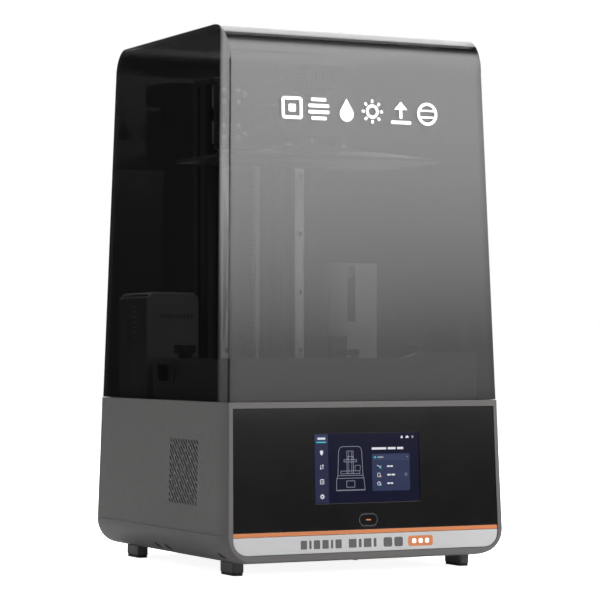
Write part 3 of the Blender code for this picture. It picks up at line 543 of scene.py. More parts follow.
# hood
hood = solid_shell("hood_shell", open_at(body_bm(HOOD_Z, TOP_Z, inset=HOOD_INSET, top_r=(HOOD_FRONT_R, HOOD_REAR_R)), HOOD_Z), HOOD_WALL, M["hood"])
soften(hood, 0.45, 3, 22.0)
piece(hood, "hood", "hood", slot="hood_tint")

# lower housing: finer roundings, the rim's step, the vents with rounded ends
housing = to_object("housing_shell", body_bm(BASE_Z, SEAM_Z, bottom_r=BOTTOM_R), M["grey"])
cut(housing, to_object("t0", body_bm(BASE_Z + WALL, SEAM_Z + 12.0, inset=WALL, bottom_r=BOTTOM_R - WALL), None))
cut(housing, to_object("t1", body_bm(156.0, 175.0, inset=RIM), None))


def front_outline(x_top, x_low, z_top, z_low, y, radius=0.0, segments=10):
    bm = cube_bm((-1, 1), y, (z_low, z_top))
    for v in bm.verts:
        v.co.x = math.copysign(x_top if v.co.z > (z_top + z_low) / 2 else x_low, v.co.x)
    if radius:
        bevel_where(bm, lambda p, q: max(abs(p.z - z_low), abs(q.z - z_low), abs(p.x - q.x)) < 1e-3, radius, segments)
    return bm


cut(housing, to_object("t2", front_outline(139.2, 141.6, -5.7, -141.6, (-8, 9), 15.0), None, FRONT))


def vent_bm(side):
    """Eleven by eleven cells, joined along their diagonals into slots three cells long."""
    slant = math.atan(6.11 / 5.75)
    turn = Matrix.Rotation(-slant, 2)
    half = [(1.0 * math.cos(math.radians(k * 45.0)), 1.0 * math.sin(math.radians(k * 45.0))) for k in range(5)]
    bm = bmesh.new()
    for c in range(-10, 11):
        rows = list(range(max(0, -c), min(10, 10 - c) + 1))
        runs = [[]]
        for row in rows:
            runs[-1].append(row)
            if (row - c) % 3 == 0:
                runs.append([])
        for run in runs:
            if not run:
                continue
            ends = []
            for row in (run[0], run[-1]):
                # rows count down from the top, columns from the rear to the front
                ends.append(Vector((-59.4 + (5 - (c + row)) * 6.11, 95.0 + (5 - row) * 5.75)))
            ring = [ends[0] + turn @ Vector((u, 2.05 + w)) for u, w in half]
            ring += [ends[1] + turn @ Vector((-u, -2.05 - w)) for u, w in half]
            outer = [bm.verts.new((side * 160.0, *q)) for q in ring]
            inner = [bm.verts.new((side * 130.0, *q)) for q in ring]
            bm.faces.new(outer)
            bm.faces.new(inner[::-1])
            n = len(ring)
            for k in range(n):
                m = (k + 1) % n
                bm.faces.new((outer[k], outer[m], inner[m], inner[k]))
    return bm


low = bmesh.new()
for side in (-1, 1):
    for y in (15.0, -9.2, -133.0):
        slot = box_bm((-9, 9), (-4.8, 4.8), (-3.0, 3.0), 2.7, 0, 4)
        for v in slot.verts:
            v.co.z += 0.5 * v.co.y
            v.co.x *= side
        bmesh.ops.rotate(slot, verts=slot.verts, cent=(0, 0, 0), matrix=Matrix.Rotation(math.radians(side * 42), 3, "Y"))
        bmesh.ops.translate(slot, verts=slot.verts, vec=(side * 140.2, y, 20.0))
        merge(low, slot)
cut(housing, to_object("t3", low, None))
cut(housing, to_object("t4", box_bm((38, 118), (140, 170), (48, 98), 2.0, 1, 3), None))
grille = bmesh.new()
for i in range(9):
    merge(grille, box_bm((-100 + i * 9.0, -96.4 + i * 9.0), (140, 170), (52, 108), 1.7, 1, 4))
cut(housing, to_object("t5", grille, None))
soften(housing, 0.35, 2, 32.0, weight=False, apply_now=True)
crease = to_object("t7", body_bm(39.15, 39.6, inset=-1.0), None)
cut(crease, to_object("t8", body_bm(37.0, 42.0, inset=0.3), None))
cut(crease, to_object("t9", cube_bm((-200, 200), (-200, -150.6), (30, 50)), None))
cut(housing, crease)
cut(housing, to_object("t6", merge(vent_bm(-1), vent_bm(1)), None))
soften(housing, 0, weight=True)
piece(housing, "base", "lower_housing", slot="housing_grey")

# ---------------------------------------------------------------- front of the base
bezel = to_object("bezel_panel", front_outline(138.9, 140.9, -6.0, -120.3, (0.8, 4.6)), M["gloss"], FRONT)
cut(bezel, to_object("t1", box_bm((-56.2, 56.2), (-5, 10), (-95.4, -29.9), 1.2, 1, 3), None, FRONT))
cut(bezel, to_object("t2", box_bm((-10.6, 10.6), (-5, 10), (-118.0, -105.2), 6.35, 1, 12), None, FRONT))
soften(bezel, 0.3, 2, 30.0)
piece(bezel, "base", "front_bezel", slot="panel_black")

glass = to_object("display_panel", box_bm((-55.9, 55.9), (0.95, 5.4), (-95.1, -30.2), 1.0, 1, 3), M["ui_bg"], FRONT)
cut(glass, to_object("t1", box_bm((-62, 62), (5.0, 13.0), (-99, -26), 1.5, 1, 2), None, FRONT), "UNION")
soften(glass, 0.12, 2, 30.0)
piece(glass, "base", "display_glass", slot="screen_glass")

button = to_object("button_cap", box_bm((-10.2, 10.2), (1.0, 5.4), (-117.6, -105.6), 5.99, 1, 14), M["gloss"], FRONT)
soften(button, 0.35, 3, 30.0)
piece(button, "power_button", "power_button", slot="panel_black")

stripe = to_object("accent_bar", front_outline(140.9, 141.0, -120.6, -124.4, (0.8, 4.6)), M["orange"], FRONT)
soften(stripe, 0.3, 2, 30.0)
piece(stripe, "base", "accent_strip", slot="accent_orange")
lower_strip = to_object("name_bar", front_outline(141.0, 141.3, -124.7, -141.3, (0.8, 4.6), 14.6, 14), M["silver"], FRONT)
soften(lower_strip, 0.35, 3, 30.0)
piece(lower_strip, "base", "name_strip", slot="strip_silver")


# ---------------------------------------------------------------- flat graphics on the front
class Drawing:
    """Flat closed shapes in x, z (mm), each a thin solid that stands proud of the face by its own small step."""

    def __init__(self, y, step=0.0015, thick=0.05):
        self.bm = bmesh.new()
        self.y, self.step, self.thick, self.n = y, step, thick, 0

    def poly(self, points):
        y = self.y - self.step * self.n
        self.n += 1
        front = [self.bm.verts.new((x, y, z)) for x, z in points]
        back = [self.bm.verts.new((x, self.y + self.thick, z)) for x, z in points]
        self.bm.faces.new(front)
        self.bm.faces.new(back[::-1])
        n = len(points)
        for a in range(n):
            b = (a + 1) % n
            self.bm.faces.new((front[a], back[a], back[b], front[b]))
        return self

    def rect(self, x0, z0, x1, z1, r=0.0):
        x0, x1, z0, z1 = min(x0, x1), max(x0, x1), min(z0, z1), max(z0, z1)
        r = min(r, (x1 - x0) / 2 - 1e-4, (z1 - z0) / 2 - 1e-4)
        if r <= 0:
            return self.poly([(x0, z0), (x1, z0), (x1, z1), (x0, z1)])
        pts = []
        for cx, cz, start in ((x1 - r, z1 - r, 0), (x0 + r, z1 - r, 90), (x0 + r, z0 + r, 180), (x1 - r, z0 + r, 270)):
            for k in range(7):
                a = math.radians(start + k * 15)
                pts.append((cx + r * math.cos(a), cz + r * math.sin(a)))
        return self.poly(pts)

    def disc(self, x, z, r, n=32):
        return self.poly([(x + r * math.cos(2 * math.pi * k / n), z + r * math.sin(2 * math.pi * k / n)) for k in range(n)])

    def arc(self, x, z, r, w, a0, a1, n=20):
        """Part of a ring, w wide, from a0 to a1 degrees."""
        out, inn = [], []
        for k in range(n + 1):
            a = math.radians(a0 + (a1 - a0) * k / n)
            out.append((x + (r + w / 2) * math.cos(a), z + (r + w / 2) * math.sin(a)))
            inn.append((x + (r - w / 2) * math.cos(a), z + (r - w / 2) * math.sin(a)))
        return self.poly(out + inn[::-1])

    def ring(self, x, z, r, w):
        return self.arc(x, z, r, w, 0, 179.9).arc(x, z, r, w, 180, 359.9)

    def line(self, x0, z0, x1, z1, w):
        d = Vector((x1 - x0, z1 - z0))
        n = Vector((-d.y, d.x)).normalized() * (w / 2)
        return self.poly([(x0 + n.x, z0 + n.y), (x0 - n.x, z0 - n.y), (x1 - n.x, z1 - n.y), (x1 + n.x, z1 + n.y)])

    def path(self, points, w, closed=False):
        pairs = list(zip(points, points[1:] + (points[:1] if closed else [])))
        if not closed:
            pairs = list(zip(points, points[1:]))
        for (a, b), (c, d) in pairs:
            self.line(a, b, c, d, w)
        return self

    def frame(self, x0, z0, x1, z1, w, r=0.0):
        """An outline box w wide."""
        if r:
            for cx, cz, a in ((x1 - r, z1 - r, 0), (x0 + r, z1 - r, 90), (x0 + r, z0 + r, 180), (x1 - r, z0 + r, 270)):
                self.arc(cx, cz, r, w, a, a + 90, 10)
        self.line(x0 + r, z0, x1 - r, z0, w).line(x0 + r, z1, x1 - r, z1, w)
        return self.line(x0, z0 + r, x0, z1 - r, w).line(x1, z0 + r, x1, z1 - r, w)

    def done(self, name, mat, body, place=FRONT, slot=None):
        obj = to_object(name, self.bm, M[mat], place, smooth=False)
        return piece(obj, body, slot=slot)


# display picture. u runs 0..1 across the picture, v 0..1 down it
DX0, DX1, DZ0, DZ1 = -55.6, 55.6, -94.8, -30.5


def dx(u):
    return DX0 + (DX1 - DX0) * u


def dz(v):
    return DZ1 + (DZ0 - DZ1) * v


side_panel = Drawing(0.93)
side_panel.rect(dx(0.0), dz(0.0), dx(0.128), dz(1.0))
side_panel.done("display_sidebar", "ui_side", "base", slot="screen_glass")
card = Drawing(0.93)
card.rect(dx(0.545), dz(0.33), dx(0.91), dz(0.845), 1.6)
card.done("display_card", "ui_card", "base", slot="screen_glass")
head = Drawing(0.915)
head.rect(dx(0.004), dz(0.005), dx(0.127), dz(0.125), 0.6)
head.rect(dx(0.545), dz(0.30), dx(0.91), dz(0.40), 1.2)
head.done("display_heads", "ui_card_head", "base", slot="screen_glass")

white = Drawing(0.90)
# status icons: lock, cloud, waves
white.rect(dx(0.838) - 1.1, dz(0.058) - 1.2, dx(0.838) + 1.1, dz(0.058) + 0.5, 0.2)
white.arc(dx(0.838), dz(0.058) + 0.5, 0.75, 0.35, 0, 180, 10)
white.disc(dx(0.889) - 0.8, dz(0.058) - 0.3, 0.85, 16).disc(dx(0.889) + 0.2, dz(0.058) + 0.15, 1.15, 20).disc(dx(0.889) + 1.2, dz(0.058) - 0.35, 0.8, 16)
for r in (0.9, 1.8):
    white.arc(dx(0.943), dz(0.058) - 1.1, r, 0.4, 45, 135, 10)
white.disc(dx(0.943), dz(0.058) - 1.0, 0.35, 12)
# sidebar: tab bars and four icons
white.rect(dx(0.03), dz(0.048), dx(0.103), dz(0.078), 0.3)
sx = dx(0.066)
iz = dz(0.27)
white.poly([(sx - 1.7, iz + 1.7), (sx, iz + 2.5), (sx + 1.7, iz + 1.7), (sx + 1.5, iz - 0.8), (sx, iz - 2.5), (sx - 1.5, iz - 0.8)])
iz = dz(0.475)
for k in (-1, 1):
    white.rect(sx + k * 1.15 - 0.3, iz - 1.9, sx + k * 1.15 + 0.3, iz + 1.9, 0.15)
    white.poly([(sx + k * 1.15 - 1.0, iz + k * 1.2), (sx + k * 1.15 + 1.0, iz + k * 1.2), (sx + k * 1.15, iz + k * 2.5)])
iz = dz(0.69)
white.frame(sx - 1.8, iz - 2.0, sx + 1.8, iz + 2.0, 0.55, 0.4).rect(sx - 0.9, iz + 1.6, sx + 0.9, iz + 2.5, 0.2)
white.line(sx - 0.9, iz - 0.1, sx + 0.9, iz - 0.1, 0.4).line(sx, iz - 1.0, sx, iz + 0.8, 0.4)
iz = dz(0.905)
for k in range(8):
    a = k * math.pi / 4
    white.line(sx + 1.5 * math.cos(a), iz + 1.5 * math.sin(a), sx + 2.4 * math.cos(a), iz + 2.4 * math.sin(a), 0.75)
white.ring(sx, iz, 1.25, 0.8)
# title and card rows
white.rect(dx(0.545), dz(0.205), dx(0.685), dz(0.238), 0.4).rect(dx(0.70), dz(0.205), dx(0.775), dz(0.238), 0.4).rect(dx(0.79), dz(0.205), dx(0.85), dz(0.238), 0.4)
for v, w in ((0.485, 0.055), (0.61, 0.075), (0.735, 0.055)):
    x = dx(0.69)
    white.rect(x, dz(v) - 0.75, x + (DX1 - DX0) * w * 0.45, dz(v) + 0.75, 0.3).rect(x + (DX1 - DX0) * w * 0.55, dz(v) - 0.75, x + (DX1 - DX0) * w, dz(v) + 0.75, 0.3)
x, z = dx(0.612), dz(0.485)
white.line(x - 2.2, z + 1.2, x + 0.2, z - 0.2, 0.5).line(x + 0.2, z - 0.2, x + 2.2, z + 0.3, 0.5)
z = dz(0.61)
white.frame(x - 1.7, z - 1.7, x + 0.9, z + 1.7, 0.45, 0.3)
z = dz(0.735)
white.ring(x - 0.3, z, 1.6, 0.5).line(x - 0.3, z, x - 0.3, z + 1.0, 0.4)
white.done("display_icons", "ui_white", "base", slot="screen_glass")

# line drawing of the machine
art = Drawing(0.90)
W1 = 0.42
ax0, ax1, az0, az1 = dx(0.20), dx(0.475), dz(0.845), dz(0.185)
w, h = ax1 - ax0, az1 - az0


def q(u, v):
    return (ax0 + w * u, az0 + h * v)


base_line = [q(0.0, 0.03), q(0.02, 0.30), q(0.96, 0.30), q(1.0, 0.03)]
art.path(base_line, W1).line(*q(0.0, 0.03), *q(1.0, 0.03), W1)
art.path([q(0.03, 0.30), q(0.06, 0.36), q(0.93, 0.36), q(0.96, 0.30)], W1)
art.path([q(0.06, 0.36), q(0.10, 0.90), q(0.15, 0.975), q(0.23, 1.0), q(0.78, 1.0), q(0.86, 0.975), q(0.90, 0.90), q(0.93, 0.36)], W1)
art.path([q(0.38, 0.40), q(0.385, 0.90), q(0.60, 0.90), q(0.60, 0.40)], W1)
art.line(*q(0.44, 0.40), *q(0.445, 0.88), 0.3).line(*q(0.545, 0.40), *q(0.545, 0.88), 0.3)
art.path([q(0.28, 0.66), q(0.28, 0.71), q(0.72, 0.71), q(0.72, 0.66), q(0.28, 0.66)], W1)
art.path([q(0.40, 0.71), q(0.42, 0.78), q(0.58, 0.78), q(0.60, 0.71)], W1)
art.path([q(0.16, 0.40), q(0.16, 0.46), q(0.82, 0.46), q(0.82, 0.40), q(0.16, 0.40)], W1)
art.path([q(0.66, 0.46), q(0.66, 0.58), q(0.84, 0.58), q(0.84, 0.46)], 0.3)
art.path([q(0.36, 0.10), q(0.36, 0.24), q(0.64, 0.24), q(0.64, 0.10), q(0.36, 0.10)], W1)
art.line(*q(0.03, 0.045), *q(0.97, 0.045), 0.3)
art.done("display_line_art", "ui_grey", "base", slot="screen_glass")

teal = Drawing(0.885)
teal.rect(dx(0.02), dz(0.108), dx(0.11), dz(0.126), 0.2)
teal.disc(dx(0.612) + 1.5, dz(0.485) - 1.3, 0.85, 16).disc(dx(0.612) + 1.5, dz(0.735) - 1.3, 0.85, 16)
teal.rect(dx(0.565), dz(0.338), dx(0.585), dz(0.362), 0.2)
teal.done("display_teal_marks", "ui_teal", "base", slot="screen_glass")
amber = Drawing(0.885)
amber.disc(dx(0.612) + 1.5, dz(0.61) - 1.3, 0.85, 16)
amber.done("display_amber_mark", "ui_amber", "base", slot="screen_glass")
soft = Drawing(0.89)
soft.rect(dx(0.60), dz(0.338), dx(0.655), dz(0.362), 0.3).path([(dx(0.886) - 0.8, dz(0.35) + 0.5), (dx(0.886), dz(0.35) - 0.5), (dx(0.886) + 0.8, dz(0.35) + 0.5)], 0.35)
soft.ring(dx(0.872), dz(0.61), 1.15, 0.4)
soft.done("display_grey_marks", "ui_grey", "base", slot="screen_glass")

# button: fine pale outline and an orange dash
mark = Drawing(0.98, thick=0.03)
for sgn in (-1, 1):
    mark.arc(sgn * 4.2, -111.6, 5.35, 0.28, -90 + (180 if sgn < 0 else 0), 90 + (180 if sgn < 0 else 0), 18)
mark.line(-4.2, -106.25, 4.2, -106.25, 0.28).line(-4.2, -116.95, 4.2, -116.95, 0.28)
mark.done("button_outline", "fine_print", "power_button", slot="panel_black")
dash = Drawing(0.97, thick=0.03)
dash.rect(-2.7, -112.2, 2.7, -111.0, 0.55)
dash.done("button_dash", "orange", "power_button", slot="accent_orange")

# lower strip: a run of plain blocks and bars, and a rounded orange plate, in place of lettering
bars = Drawing(0.79, thick=0.03)
x = -72.0
pattern = (6.6, 2.4, 6.6, 6.6, 2.4, 6.6, 0, 8.2, 3.0, 8.2, 3.0, 0, 9.3, 9.3)
for k, wdt in enumerate(pattern):
    if wdt == 0:
        x += 5.2
        continue
    if k >= 12:
        bars.rect(x, -137.6, x + wdt, -128.6, 2.0)
    else:
        bars.rect(x, -137.2, x + wdt, -129.0, 0.6 if wdt > 4 else 1.1)
    x += wdt + 2.35
bars.done("strip_marks", "dark_print", "base", slot="strip_silver")
badge = Drawing(0.79, thick=0.03)
badge.rect(42.0, -137.9, 69.0, -128.1, 2.4)
badge.done("strip_badge", "orange", "base", slot="accent_orange")
badge_marks = Drawing(0.775, thick=0.03)
for k in range(3):
    badge_marks.rect(46.6 + k * 7.0, -135.2, 50.8 + k * 7.0, -130.8, 1.3)
badge_marks.done("badge_marks", "white_print", "base", slot="strip_silver")

# hood front: white pictograms of the process, on the outside of the front wall
HF = Matrix.Translation(Vector((0, -(HALF_F - HOOD_INSET), SEAM_Z)) * MM) @ Matrix.Rotation(
    -math.atan(DRAFT_Y * (HALF_F - HOOD_INSET) / HALF_F), 4, "X"
)
up = 275.0  # height of the row of pictograms above the rim, along the face
logo = Drawing(-0.06, step=0.002, thick=0.05)
T = 3.1
# a screen with a lit area
logo.path([(-81.4, up - 9.0), (-62.6, up - 9.0), (-62.6, up + 9.0), (-81.4, up + 9.0)], T, closed=True)
logo.rect(-75.8, up - 3.6, -68.2, up + 3.6, 1.2)
# stacked layers
for k in range(4):
    logo.rect(-55.0 + (3.0 if k in (0, 3) else 0.0), up - 10.5 + k * 5.9, -33.0 - (3.0 if k in (0, 3) else 0.0), up - 7.2 + k * 5.9, 1.2)
# a drop
drop_pts = [(-14.5, up + 11.0)]
for k in range(19):
    a = math.radians(35 - k * 250 / 18)
    drop_pts.append((-14.5 + 7.4 * math.cos(a), up - 3.4 + 7.4 * math.sin(a)))
logo.poly(drop_pts)
# a ring with rays
logo.ring(13.0, up, 5.4, T - 0.3)
for k in range(8):
    a = k * math.pi / 4
    logo.line(13.0 + 8.2 * math.cos(a), up + 8.2 * math.sin(a), 13.0 + 11.4 * math.cos(a), up + 11.4 * math.sin(a), T - 0.6)
# an arrow rising from a plate
logo.rect(33.0, up - 10.8, 55.0, up - 7.6, 1.2)
logo.rect(42.5, up - 5.4, 45.5, up + 4.0).poly([(36.8, up + 3.0), (51.2, up + 3.0), (44.0, up + 10.8)])
# a sphere with its parallels
logo.ring(73.0, up, 9.6, T - 0.2)
logo.line(64.2, up + 3.2, 81.8, up + 3.2, 1.9).line(64.2, up - 3.2, 81.8, up - 3.2, 1.9)
logo.done("hood_pictograms", "white_print", "hood", HF, slot="strip_silver")

# ---------------------------------------------------------------- carried-over shapes with broken edges
for tag in ("front_left", "front_right", "rear_left", "rear_right"):
    refine("foot_" + tag, "grey_foot", 0.3, 2, 40.0, "housing_grey")
    refine("foot_pad_" + tag, "rubber", 0.3, 2, 40.0, "rubber")
for name, mat, width in (
    ("deck_plate", "anodised", 0.35),
    ("hood_seal", "rubber", 0.2),
    ("column_beam", "anodised", 0.5),
    ("column_cap", "anodised", 0.5),
    ("carriage_plate", "anodised", 0.5),
    ("platform_arm", "anodised", 0.6),
    ("platform_head", "plastic", 0.5),
    ("clamp_lever", "plastic", 0.7),
    ("build_plate", "plate", 0.5),
    ("resin_vat", "vat", 0.5),
    ("feed_unit", "unit", 0.8),
    ("feed_spout", "plastic", 0.4),
    ("z_motor", "anodised", 0.5),
    ("lead_nut", "brass", 0.4),
    ("film_clamp", "steel", 0.3),
    ("rear_panel", "plastic", 0.4),
    ("power_inlet", "plastic", 0.4),
    ("rocker_switch", "plastic", 0.5),
    ("power_supply", "zinc", 0.6),
    ("fan_frame", "plastic", 0.5),
    ("heat_sink", "alu", 0.3),
    ("rail_left", "steel", 0.35),
    ("rail_right", "steel", 0.35),
    ("bearing_upper_left", "steel", 0.5),
    ("bearing_upper_right", "steel", 0.5),
    ("bearing_lower_left", "steel", 0.5),
    ("bearing_lower_right", "steel", 0.5),
):
    refine(name, mat, width)
for name, mat in (
    ("release_film", "film"),
    ("screen_glass", "film"),
    ("exposure_screen", "gloss"),
    ("led_board", "board"),
    ("mainboard", "board"),
    ("chassis_plate", "zinc"),
    ("light_box", "alu"),
):
    dress(name, mat)

# heater: moulded shell with rounded edges and side louvres, with painted shade on its flank and a painted highlight on
# its upward-sloping edges
shell_bm = cube_bm((-133.5, -76), (62, 133), (160.3, 268))
bevel_where(shell_bm, lambda p, q: p.z > 260 and q.z > 260 and abs(p.x - q.x) < 1e-3, 6.0, 1)
bevel_where(shell_bm, lambda p, q: min(p.y, q.y) < 62.01 and max(p.y, q.y) < 62.01, 1.6, 4)
# painted light: faces turned to -x take the darker copy as painted shade, faces sloping upwards take the lighter copy
# as a painted highlight
for f in shell_bm.faces:
    f.normal_update()
    f.material_index = 1 if f.normal.x < -0.9 else 2 if 0.3 < f.normal.z < 0.9 else 0
heater = to_object("heater_shell", shell_bm, M["heater"])
heater.data.materials.append(M["heater_side"])
heater.data.materials.append(M["heater_edge"])
cut(heater, to_object("h1", cube_bm((-131.0, -78.5), (64.5, 130.5), (155.0, 265.5)), None))
louvre_bm = bmesh.new()
for k in range(7):
    merge(louvre_bm, box_bm((-140, -125), (88, 108), (222.0 + k * 5.2, 223.6 + k * 5.2), 0.7, 0, 3))
cut(heater, to_object("h2", louvre_bm, None))
soften(heater, 0, weight=True)
piece(heater, body_of("heater_unit"), "heater_unit", slot="dark_plastic")
marks = Drawing(-0.05, thick=0.04)
for k in range(9):
    marks.rect(-118.0 + k * 4.1, 241.8, -115.4 + k * 4.1, 246.2, 0.5)
marks.done("heater_marks", "dark_print", body_of("heater_unit"), Matrix.Translation(Vector((0, 62.0, 0)) * MM), slot="dark_plastic")

# foam filter just inside the heater's louvres
foam = to_object("heater_filter", box_bm((-130.9, -129.5), (84.0, 120.0), (217.0, 260.0), 0.5, None, 2), M["unit"])
soften(foam, 0)
piece(foam, body_of("heater_unit"), slot="dark_plastic")

# ---------------------------------------------------------------- turned and threaded pieces
def turned(name, profile, mat, centre, body, *replaced, axis=2, steps=72, slot=None, angle=32.0, width=0.25):
    obj = to_object(name, tube_bm(profile, centre, axis, steps), M[mat])
    soften(obj, width, 2, angle)
    return piece(obj, body, *replaced, slot=slot)


def helix_bm(radius, root, pitch, z0, z1, centre, steps=28, starts=1, flat=0.28):
    """A screw with a real helical thread between two heights."""
    bm = bmesh.new()
    length = z1 - z0
    turns = length / pitch
    per = 4  # points of the thread's profile in one pitch
    prof = ((0.0, root), (0.5 - flat / 2 - 0.12, root), (0.5 - flat / 2, radius), (0.5 + flat / 2, radius), (0.5 + flat / 2 + 0.12, root))
    rows = []
    n = int(turns)
    for k in range(n + 1):
        for f, r in prof:
            rows.append(((k + f) * pitch, r))
    grid = []
    for s in range(steps + 1):
        a = 2 * math.pi * s / steps
        ring = []
        for h, r in rows:
            z = z0 - pitch + h + pitch * s / steps * starts
            z = min(max(z, z0), z1)
            ring.append((centre[0] + r * math.cos(a), centre[1] + r * math.sin(a), z))
        grid.append(ring)
    verts = [[bm.verts.new(p) for p in ring] for ring in grid]
    for s in range(steps):
        for k in range(len(rows) - 1):
            bm.faces.new((verts[s][k], verts[s + 1][k], verts[s + 1][k + 1], verts[s][k + 1]))
    bmesh.ops.remove_doubles(bm, verts=bm.verts, dist=1e-4)
    return bm


# lead screw: plain ends as turned, the threaded length as a helix round a core
screw = to_object("lead_screw_thread", helix_bm(6.0, 4.9, 5.0, 184.2, 476.3, (0, SCREW_Y), 30), M["steel"])
core = to_object(
    "t1",
    tube_bm([(0, 180.3), (4.0, 180.3), (4.0, 182.6), (4.95, 183.8), (4.95, 476.7), (4.0, 478.0), (4.0, 482.4), (3.6, 482.8), (0, 482.8)], (0, SCREW_Y, 0), 2, 36),
    M["steel"],
)
joined = bmesh.new()
joined.from_mesh(screw.data)
joined.from_mesh(core.data)
joined.to_mesh(screw.data)
joined.free()
drop(core)
for poly in screw.data.polygons:
    poly.use_smooth = True
soften(screw, 0)
screw.data.set_sharp_from_angle(angle=math.radians(30))
piece(screw, body_of("lead_screw"), "lead_screw", slot="steel")

# coupling: a turned body with two grooves
coupling = to_object(
    "screw_coupling_body",
    tube_bm([(0, 180), (9.6, 180), (10, 179.6), (10, 171.4), (8.6, 170.9), (8.6, 169.1), (10, 168.6), (10, 166.8), (8.8, 166.4), (8.8, 165.0), (10, 164.6), (10, 159.0), (9.6, 158.6), (2.5, 158.6), (2.5, 147.0), (0, 147.0)], (0, SCREW_Y, 0), 2, 64),
    M["turned_alu"],
)
soften(coupling, 0.15, 2, 40)
piece(coupling, body_of("screw_coupling"), "screw_coupling", slot="aluminium")


def knurled_bm(profile, centre, ridges, depth, z_low, z_high):
    """A turned solid whose widest band carries upright ridges."""
    steps = ridges * 4
    bm = tube_bm(profile, (0, 0, 0), 2, steps)
    widest = max(r for r, _ in profile)
    for v in bm.verts:
        r = math.hypot(v.co.x, v.co.y)
        if r > widest - 0.35 and z_low <= v.co.z <= z_high:
            a = math.atan2(v.co.y, v.co.x)
            k = round((a / (2 * math.pi)) * steps) % 4
            d = (0.0, depth, depth, 0.0)[k]
            v.co.x *= (r - d) / r
            v.co.y *= (r - d) / r
    bmesh.ops.translate(bm, verts=bm.verts, vec=centre)
    return bm


for tag, side in (("left", -1), ("right", 1)):
    knob = to_object(
        "vat_knob_grip_" + tag,
        knurled_bm(
            [(0, 215.6), (6.6, 215.6), (7.2, 216.0), (9.6, 216.0), (10.5, 215.4), (10.8, 214.6), (10.8, 208.4), (10.3, 207.3), (9.4, 206.6), (7.2, 206.4), (7.2, 202.8), (6.8, 202.4), (2.4, 202.4), (2.4, 157.6), (1.9, 157.0), (0, 157.0)],
            (side * KNOB_X, KNOB_Y, 0),
            30,
            0.45,
            208.0,
            215.0,
        ),
        M["knob"],
    )
    knob.data.set_sharp_from_angle(angle=math.radians(35))
    soften(knob, 0)
    piece(knob, "vat_knob_" + tag, "vat_knob_" + tag, slot="aluminium")

# levelling screws: socket heads with a washer face
for tag, x, y in (("front_left", -28.5, -50), ("front_right", 28.5, -50), ("rear_left", -28.5, -21), ("rear_right", 28.5, -21)):
    z0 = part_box("leveling_screw_" + tag)[0].z / MM
    head_obj = to_object("leveling_head_" + tag, tube_bm([(0, 0), (3.4, 0), (3.6, 0.25), (3.6, 3.2), (3.2, 3.6), (0, 3.6)], (x, y, z0), 2, 40), M["steel"])
    cut(head_obj, to_object("t1", tube_bm([(0, 1.4), (1.7, 1.4), (1.7, 8), (0, 8)], (x, y, z0), 2, 6), None))
    soften(head_obj, 0.12, 2, 40)
    piece(head_obj, "platform", "leveling_screw_" + tag, slot="steel")

# resin bottle: blow-moulded body with a rolled shoulder and a ribbed foot
bottle = to_object(
    "resin_bottle_body",
    tube_bm(
        [(0, 290.0), (20.5, 290.0), (22.8, 289.2), (24.2, 287.9), (24.9, 286.0), (25.0, 284.0), (25.0, 281.0), (24.5, 280.2), (24.5, 279.2), (25.0, 278.4), (25.0, 216.0), (24.6, 212.5), (23.4, 208.8), (21.0, 205.2), (17.0, 201.8), (14.2, 199.6), (13.5, 197.5), (13.5, 192.0), (13.1, 191.5), (13.1, 190.5), (13.5, 190.0), (13.5, 176.3), (12.5, 175.0), (0, 175.0)],
        (103.5, 103.0, 0),
        2,
        64,
    ),
    M["bottle"],
)
soften(bottle, 0, weight=True)
bottle.data.set_sharp_from_angle(angle=math.radians(38))
piece(bottle, "bottle", "resin_bottle", slot="bottle_plastic")

# fan: hub with a domed cap and seven curved blades
FX, FY, FZ = -142.2, -59.4, 95.0
hub = tube_bm([(0, 0), (9.6, 0), (11.1, 0.6), (11.5, 1.8), (11.5, 9.6), (11.0, 10.2), (0, 10.2)], (FX + 1.2, FY, FZ), 0, 56)
for k in range(7):
    blade = bmesh.new()
    cols, rws = 9, 7
    sheets = []
    for off in (-0.45, 0.45):
        sheet = []
        for i in range(cols):
            f = i / (cols - 1)
            row = []
            for j in range(rws):
                r = 10.8 + (26.6 - 10.8) * j / (rws - 1)
                ang = math.radians(-22 + 44 * f + 9 * j / (rws - 1))
                xx = 1.4 + 8.0 * f + 1.1 * math.sin(math.pi * f) + off
                row.append(blade.verts.new((xx, r * math.sin(ang), r * math.cos(ang))))
            sheet.append(row)
        sheets.append(sheet)
    lo_s, hi_s = sheets
    for s in (lo_s, hi_s):
        for i in range(cols - 1):
            for j in range(rws - 1):
                blade.faces.new((s[i][j], s[i + 1][j], s[i + 1][j + 1], s[i][j + 1]))
    for i in range(cols - 1):
        blade.faces.new((lo_s[i][0], hi_s[i][0], hi_s[i + 1][0], lo_s[i + 1][0]))
        blade.faces.new((lo_s[i][-1], lo_s[i + 1][-1], hi_s[i + 1][-1], hi_s[i][-1]))
    for j in range(rws - 1):
        blade.faces.new((lo_s[0][j], lo_s[0][j + 1], hi_s[0][j + 1], hi_s[0][j]))
        blade.faces.new((lo_s[-1][j], hi_s[-1][j], hi_s[-1][j + 1], lo_s[-1][j + 1]))
    bmesh.ops.rotate(blade, verts=blade.verts, cent=(0, 0, 0), matrix=Matrix.Rotation(math.radians(360 / 7 * k), 3, "X"))
    bmesh.ops.translate(blade, verts=blade.verts, vec=(FX + 0.6, FY, FZ))
    merge(hub, blade)
rotor = to_object("fan_wheel", hub, M["plastic"])
rotor.data.set_sharp_from_angle(angle=math.radians(35))
soften(rotor, 0)
piece(rotor, "fan_rotor", "fan_rotor", slot="dark_plastic")


